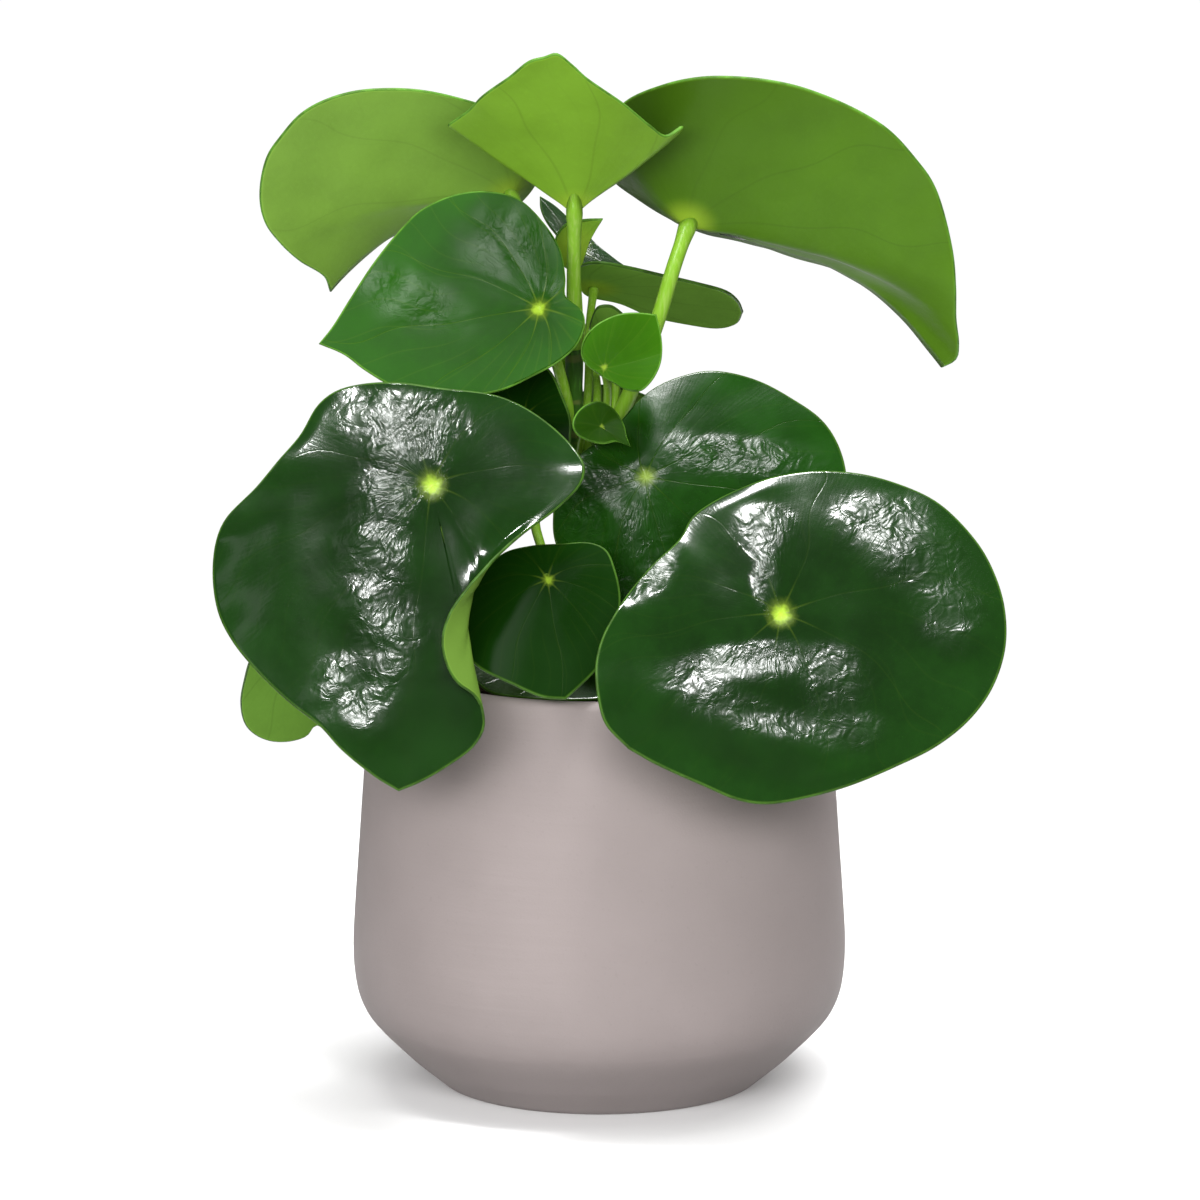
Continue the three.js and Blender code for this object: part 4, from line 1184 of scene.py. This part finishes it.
def tube(points, radii, sides, face=None):
    """Points and faces of a closed round stalk, its end cut parallel to a face, if given."""
    points = np.asarray(points, float)
    tangents = np.gradient(points, axis=0)
    tangents /= np.linalg.norm(tangents, axis=1, keepdims=True)
    side_way = unit(np.cross(tangents[0], (0.3, 1, 0.1)))
    rows = []
    angles = np.arange(sides) * math.tau / sides
    for centre, tangent, radius in zip(points, tangents, radii):
        side_way = unit(side_way - tangent * (side_way @ tangent))
        other_way = np.cross(tangent, side_way)
        ring = np.outer(np.cos(angles), side_way) + np.outer(np.sin(angles), other_way)
        rows.append(centre + ring * radius)
    if face is not None:
        gap = ((points[-1] - rows[-1]) @ face) / (tangents[-1] @ face)
        rows[-1] = rows[-1] + gap[:, None] * tangents[-1]
    return np.vstack([*rows, points[0], points[-1]]), closed_faces(len(rows), sides)


def petiole(leaf, sides):
    """One leaf's stalk: swollen where it leaves the trunk and flared where it meets the blade."""
    face = unit(leaf.face)
    drawn = [from_drawing(*point) for point in leaf.stalk]
    drawn.append(from_drawing(*leaf.hub) - face * HUB_GAP)
    line = smooth_line(drawn, STALK_STEPS * len(drawn))
    run = np.linspace(0, 1, len(line))
    steps = np.linalg.norm(np.diff(line, axis=0), axis=1)
    left = np.concatenate([np.cumsum(steps[::-1])[::-1], [0]])
    swelling = 1 + FOOT_TAPER * (1 - run) + FOOT_SWELLING * np.exp(-run * FOOT_RUN)
    radii = leaf.stalk_radius * (swelling + FLARE * np.exp(-((left / FLARE_RUN) ** 2)))
    return tube(line, radii, sides, face)


def trunk(sides):
    """The short trunk, tapering and ringed where old leaves grew."""
    line = smooth_line(TRUNK, TRUNK_STEPS)
    run = np.linspace(0, 1, len(line))
    turn = run * math.pi * LEAF_SCARS + SCAR_SWAY * np.sin(run * SWAY_RUN)
    knots = np.abs(np.sin(turn))
    rings = 1 + SCAR_HEIGHT * np.exp(-((knots / SCAR_WIDTH) ** 2))
    return tube(line, TRUNK_RADIUS * (1 - TRUNK_TAPER * run) * rings, sides)


# ---- Soil -----------------------------------------------------------------------------------

SOIL_SIDES, SOIL_RINGS, SOIL_MIDDLE = 120, 44, 0.6
SOIL_SEED, SOIL_WAVES, SOIL_WAVE_LENGTHS, SOIL_WAVE_TALL = 11, 26, (4, 22), 60
SOIL_UNEVENNESS = 0.55
SOIL_EDGE, EDGE_FADE = 1.02, 6  # share of its radius where unevenness ends, and how fast
CRUMB_SEED = 5
CRUMB_SPREAD = 0.97  # share of the soil's radius
CRUMB_SIZES = 0.45, 1.5  # shares of the average crumb
CRUMB_BUMPS = 0.22
SLIMMEST, STOUTEST = (0.7, 0.5, 0.4), (1.5, 1, 0.8)
CRUMB_RISE = 0.15  # of a crumb's middle over the soil, as a share of its size


def soil_level(x, y):
    """How high the soil's mounded, uneven top stands."""
    radius = np.hypot(x, y) / SOIL_RADIUS
    lumps = waves(x, y, SOIL_SEED, SOIL_WAVES, SOIL_WAVE_LENGTHS, SOIL_WAVE_TALL)
    mound = SOIL_MOUND * np.clip(1 - radius**2, 0, 1)
    fade = np.clip((SOIL_EDGE - radius) * EDGE_FADE, 0, 1)
    return SOIL_TOP + mound + lumps * SOIL_UNEVENNESS * fade


def soil_body():
    """The filling of the pot."""
    top = [(radius, 0) for radius in np.linspace(SOIL_RADIUS, SOIL_MIDDLE, SOIL_RINGS)]
    points, faces = turned([(0, SOIL_SIDE[0][1]), *SOIL_SIDE, *top, (0, 0)], SOIL_SIDES)
    first = len(SOIL_SIDE) * SOIL_SIDES
    on_top = [*range(first, first + SOIL_RINGS * SOIL_SIDES), len(points) - 1]
    points[on_top, 2] = soil_level(points[on_top, 0], points[on_top, 1])
    return points, faces


LONGEST_EDGE = 1.2  # more than an edge of the body below, and less than any other two corners


def ball():
    """A twenty-sided body with each side split in four, 1 in radius."""
    golden = (1 + math.sqrt(5)) / 2
    corners = []
    for a in (-1, 1):
        for b in (-golden, golden):
            corners += [(0, a, b), (a, b, 0), (b, 0, a)]
    corners = np.array(corners) / math.hypot(1, golden)
    points, middles, split = [tuple(corner) for corner in corners], {}, []
    for triangle in itertools.combinations(range(len(corners)), 3):
        i, j, k = triangle
        pairs = list(itertools.combinations(triangle, 2))
        if max(np.linalg.norm(corners[a] - corners[b]) for a, b in pairs) > LONGEST_EDGE:
            continue
        if np.cross(corners[j] - corners[i], corners[k] - corners[i]) @ corners[i] < 0:
            j, k = k, j
        halves = []
        for a, b in ((i, j), (j, k), (k, i)):
            key = (min(a, b), max(a, b))
            if key not in middles:
                middles[key] = len(points)
                points.append(tuple(unit(corners[a] + corners[b])))
            halves.append(middles[key])
        ij, jk, ki = halves
        split += [(i, ij, ki), (j, jk, ij), (k, ki, jk), (ij, jk, ki)]
    return np.array(points), split


def crumbs(settings):
    """Loose crumbs of bark and fibre, half sunk in the soil."""
    corners, sides = ball()
    dice = np.random.default_rng(CRUMB_SEED)
    points, faces = [], []
    for index in range(settings.crumbs):
        out = SOIL_RADIUS * CRUMB_SPREAD * math.sqrt(dice.uniform(0, 1))
        angle = dice.uniform(0, math.tau)
        x, y = out * math.cos(angle), out * math.sin(angle)
        size = settings.crumb_size / MM * dice.uniform(*CRUMB_SIZES)
        lump = corners * (1 + dice.uniform(-CRUMB_BUMPS, CRUMB_BUMPS, (len(corners), 1)))
        turn = np.linalg.qr(dice.normal(size=(3, 3)))[0]
        lump = (lump * dice.uniform(SLIMMEST, STOUTEST)) @ turn * size
        level = soil_level(np.array([x]), np.array([y]))[0]
        points.append(lump + (x, y, level + size * CRUMB_RISE))
        faces += [tuple(corner + index * len(corners) for corner in side) for side in sides]
    return np.vstack(points), faces


# ---- Operators ------------------------------------------------------------------------------


class PEPEROMIA_OT_pot(bpy.types.Operator):
    """Turn the stoneware pot"""

    bl_idname = "peperomia.pot"
    bl_label = "Make Pot"

    def execute(self, context):
        settings = context.scene.peperomia_pot
        body = turned(pot_outline(), settings.sides)
        make_piece("stoneware_pot", *body, [stoneware(settings)], "stoneware", ("pot",))
        return {"FINISHED"}


class PEPEROMIA_OT_soil(bpy.types.Operator):
    """Fill the pot with soil and scatter its crumbs"""

    bl_idname = "peperomia.soil"
    bl_label = "Make Soil"

    def execute(self, context):
        settings = context.scene.peperomia_soil
        mix = potting_mix(settings, "moist_potting_mix", 0.5)
        make_piece("potting_soil", *soil_body(), [mix], "potting_mix", ("soil",))
        bark = potting_mix(settings, "bark_crumbs", 1.0)
        make_piece("soil_crumbs", *crumbs(settings), [bark], "potting_mix")
        return {"FINISHED"}


class PEPEROMIA_OT_stems(bpy.types.Operator):
    """Grow the trunk and a petiole for each leaf"""

    bl_idname = "peperomia.stems"
    bl_label = "Make Stems"

    def execute(self, context):
        settings = context.scene.peperomia_stalks
        body = trunk(settings.sides + EXTRA_SIDES)
        make_piece("trunk", *body, [old_stem(settings)], "stalk", ("stems",))
        green = juicy_stalk(settings)
        for name, leaf in LEAVES.items():
            body = petiole(leaf, settings.sides)
            name = name.replace("leaf_", "petiole_")
            make_piece(name, *body, [green], "stalk", ("stems",))
        return {"FINISHED"}


def grow_leaves(context, kind):
    """Makes the leaves of one kind, and each finish when a leaf first needs it."""
    settings = context.scene.peperomia_leaves
    finishes = {}
    for name, leaf in LEAVES.items():
        if leaf.kind != kind:
            continue
        materials = []
        for finish in zip((glossy_upper, satin_under, blade_margin), LOOKS[leaf.look]):
            if finish not in finishes:
                make, which = finish
                finishes[finish] = make(settings, which)
            materials.append(finishes[finish])
        make_blade(name, materials, settings)


class PEPEROMIA_OT_old_leaves(bpy.types.Operator):
    """Grow the deep green leaves"""

    bl_idname = "peperomia.old_leaves"
    bl_label = "Make Old Leaves"

    def execute(self, context):
        grow_leaves(context, "deep")
        return {"FINISHED"}


class PEPEROMIA_OT_young_leaves(bpy.types.Operator):
    """Grow the fresh green leaves"""

    bl_idname = "peperomia.young_leaves"
    bl_label = "Make Young Leaves"

    def execute(self, context):
        grow_leaves(context, "young")
        return {"FINISHED"}


class PEPEROMIA_OT_pale_leaves(bpy.types.Operator):
    """Grow the leaves that turn their pale underside forward"""

    bl_idname = "peperomia.pale_leaves"
    bl_label = "Make Pale Leaves"

    def execute(self, context):
        grow_leaves(context, "pale")
        return {"FINISHED"}


class Softbox(NamedTuple):
    """A rectangular light that looks at the plant's middle. Metres."""

    place: tuple
    size: tuple
    power: float  # share of the key light's
    mirrored: bool = True  # seen in glossy leaves
    lighting: bool = True  # lights matte surfaces


SOFTBOXES = {
    "key_softbox": Softbox((-0.68, -1.02, 1.44), (0.18, 0.24), 1.15, lighting=False),
    "soft_softbox": Softbox((-1.3, -2.0, 0.9), (1.0, 0.9), 1.9, mirrored=False),
    "side_softbox": Softbox((-1.54, -1.07, 1.11), (0.2, 0.6), 0.011),
    "high_softbox": Softbox((0.18, -0.32, 1.88), (0.30, 0.26), 1.3),
    "top_softbox": Softbox((0.3, 0.2, 2.2), (2.2, 2.0), 4.7, mirrored=False),
    "fill_softbox": Softbox((0.15, -2.5, 1.1), (2.4, 0.6), 4.9, mirrored=False),
    "back_softbox": Softbox((0.5, 2.2, 1.0), (1.4, 0.8), 1.6, mirrored=False),
}
LIT_POINT = (0, 0, 0.16)
FLOOR_HALF = 6.0
FLOOR_CORNERS = (-1, -1), (1, -1), (1, 1), (-1, 1)
CAMERA_TARGET = (0.0002, 0, 0.139)
FRAMED_WIDTH = 0.34  # what the camera takes in at its target
SENSOR = 36
CLIP_END = 50


def add_object(name, data):
    thing = bpy.data.objects.new(name, data)
    bpy.context.scene.collection.objects.link(thing)
    return thing


def look_along(way):
    """The rotation of a lamp or camera that looks that way."""
    return Vector(way).to_track_quat("-Z", "Y").to_euler()


def hang_softbox(name, box, key):
    """Adds a softbox, by its share of the key light's power."""
    light = bpy.data.lights.new(name, "AREA")
    light.shape = "RECTANGLE"
    light.size, light.size_y = box.size
    light.energy = key * box.power
    lamp = add_object(name, light)
    lamp.location = box.place
    lamp.rotation_euler = look_along(Vector(LIT_POINT) - Vector(box.place))
    lamp.visible_glossy = box.mirrored
    lamp.visible_diffuse = box.lighting


class PEPEROMIA_OT_studio(bpy.types.Operator):
    """Set up the floor, the lights and the camera"""

    bl_idname = "peperomia.studio"
    bl_label = "Make Studio"

    def execute(self, context):
        settings = context.scene.peperomia_studio
        scene = context.scene
        mesh = bpy.data.meshes.new("studio_floor")
        corners = [(x * FLOOR_HALF, y * FLOOR_HALF, 0) for x, y in FLOOR_CORNERS]
        mesh.from_pydata(corners, [], [(0, 1, 2, 3)])
        mesh.materials.append(studio_white(settings))
        floor = add_object("studio_floor", mesh)
        floor.visible_diffuse = False
        scene.world = white_room(settings)
        for name, box in SOFTBOXES.items():
            hang_softbox(name, box, settings.key)
        lens = bpy.data.cameras.new("studio_camera")
        camera = add_object("studio_camera", lens)
        scene.camera = camera
        back = Vector((0, -math.cos(VIEW_TILT), math.sin(VIEW_TILT)))
        camera.location = Vector(CAMERA_TARGET) + back * settings.camera_distance
        camera.rotation_euler = look_along(-back)
        lens.sensor_width = SENSOR
        lens.lens = SENSOR * settings.camera_distance / FRAMED_WIDTH
        lens.clip_end = CLIP_END
        scene.view_settings.view_transform = "Standard"
        return {"FINISHED"}


class PEPEROMIA_PT_panel(bpy.types.Panel):
    """Lists the plant's makers"""

    bl_label = "Potted Peperomia"
    bl_idname = "PEPEROMIA_PT_panel"
    bl_space_type = "VIEW_3D"
    bl_region_type = "UI"
    bl_category = "Peperomia"

    def draw(self, context):
        for name, operators in STEPS.items():
            box = self.layout.box()
            for operator in operators:
                box.operator(operator.bl_idname)
            settings = getattr(context.scene, name)
            for setting in settings.bl_rna.properties:
                if setting.identifier not in {"rna_type", "name"}:
                    box.prop(settings, setting.identifier)


SETTINGS = {
    "peperomia_studio": StudioSettings,
    "peperomia_pot": PotSettings,
    "peperomia_soil": SoilSettings,
    "peperomia_stalks": StalkSettings,
    "peperomia_leaves": LeafSettings,
}
STEPS = {
    "peperomia_studio": [PEPEROMIA_OT_studio],
    "peperomia_pot": [PEPEROMIA_OT_pot],
    "peperomia_soil": [PEPEROMIA_OT_soil],
    "peperomia_stalks": [PEPEROMIA_OT_stems],
    "peperomia_leaves": [
        PEPEROMIA_OT_old_leaves, PEPEROMIA_OT_young_leaves, PEPEROMIA_OT_pale_leaves,
    ],
}
OPERATORS = [operator for operators in STEPS.values() for operator in operators]


def register():
    for name, kind in SETTINGS.items():
        bpy.utils.register_class(kind)
        setattr(bpy.types.Scene, name, PointerProperty(type=kind))
    for kind in [*OPERATORS, PEPEROMIA_PT_panel]:
        bpy.utils.register_class(kind)


def unregister():
    for kind in [PEPEROMIA_PT_panel, *reversed(OPERATORS)]:
        bpy.utils.unregister_class(kind)
    for name, kind in SETTINGS.items():
        delattr(bpy.types.Scene, name)
        bpy.utils.unregister_class(kind)


def main():
    register()
    for operator in OPERATORS:
        family, step = operator.bl_idname.split(".")
        getattr(getattr(bpy.ops, family), step)()


if __name__ == "__main__":
    main()
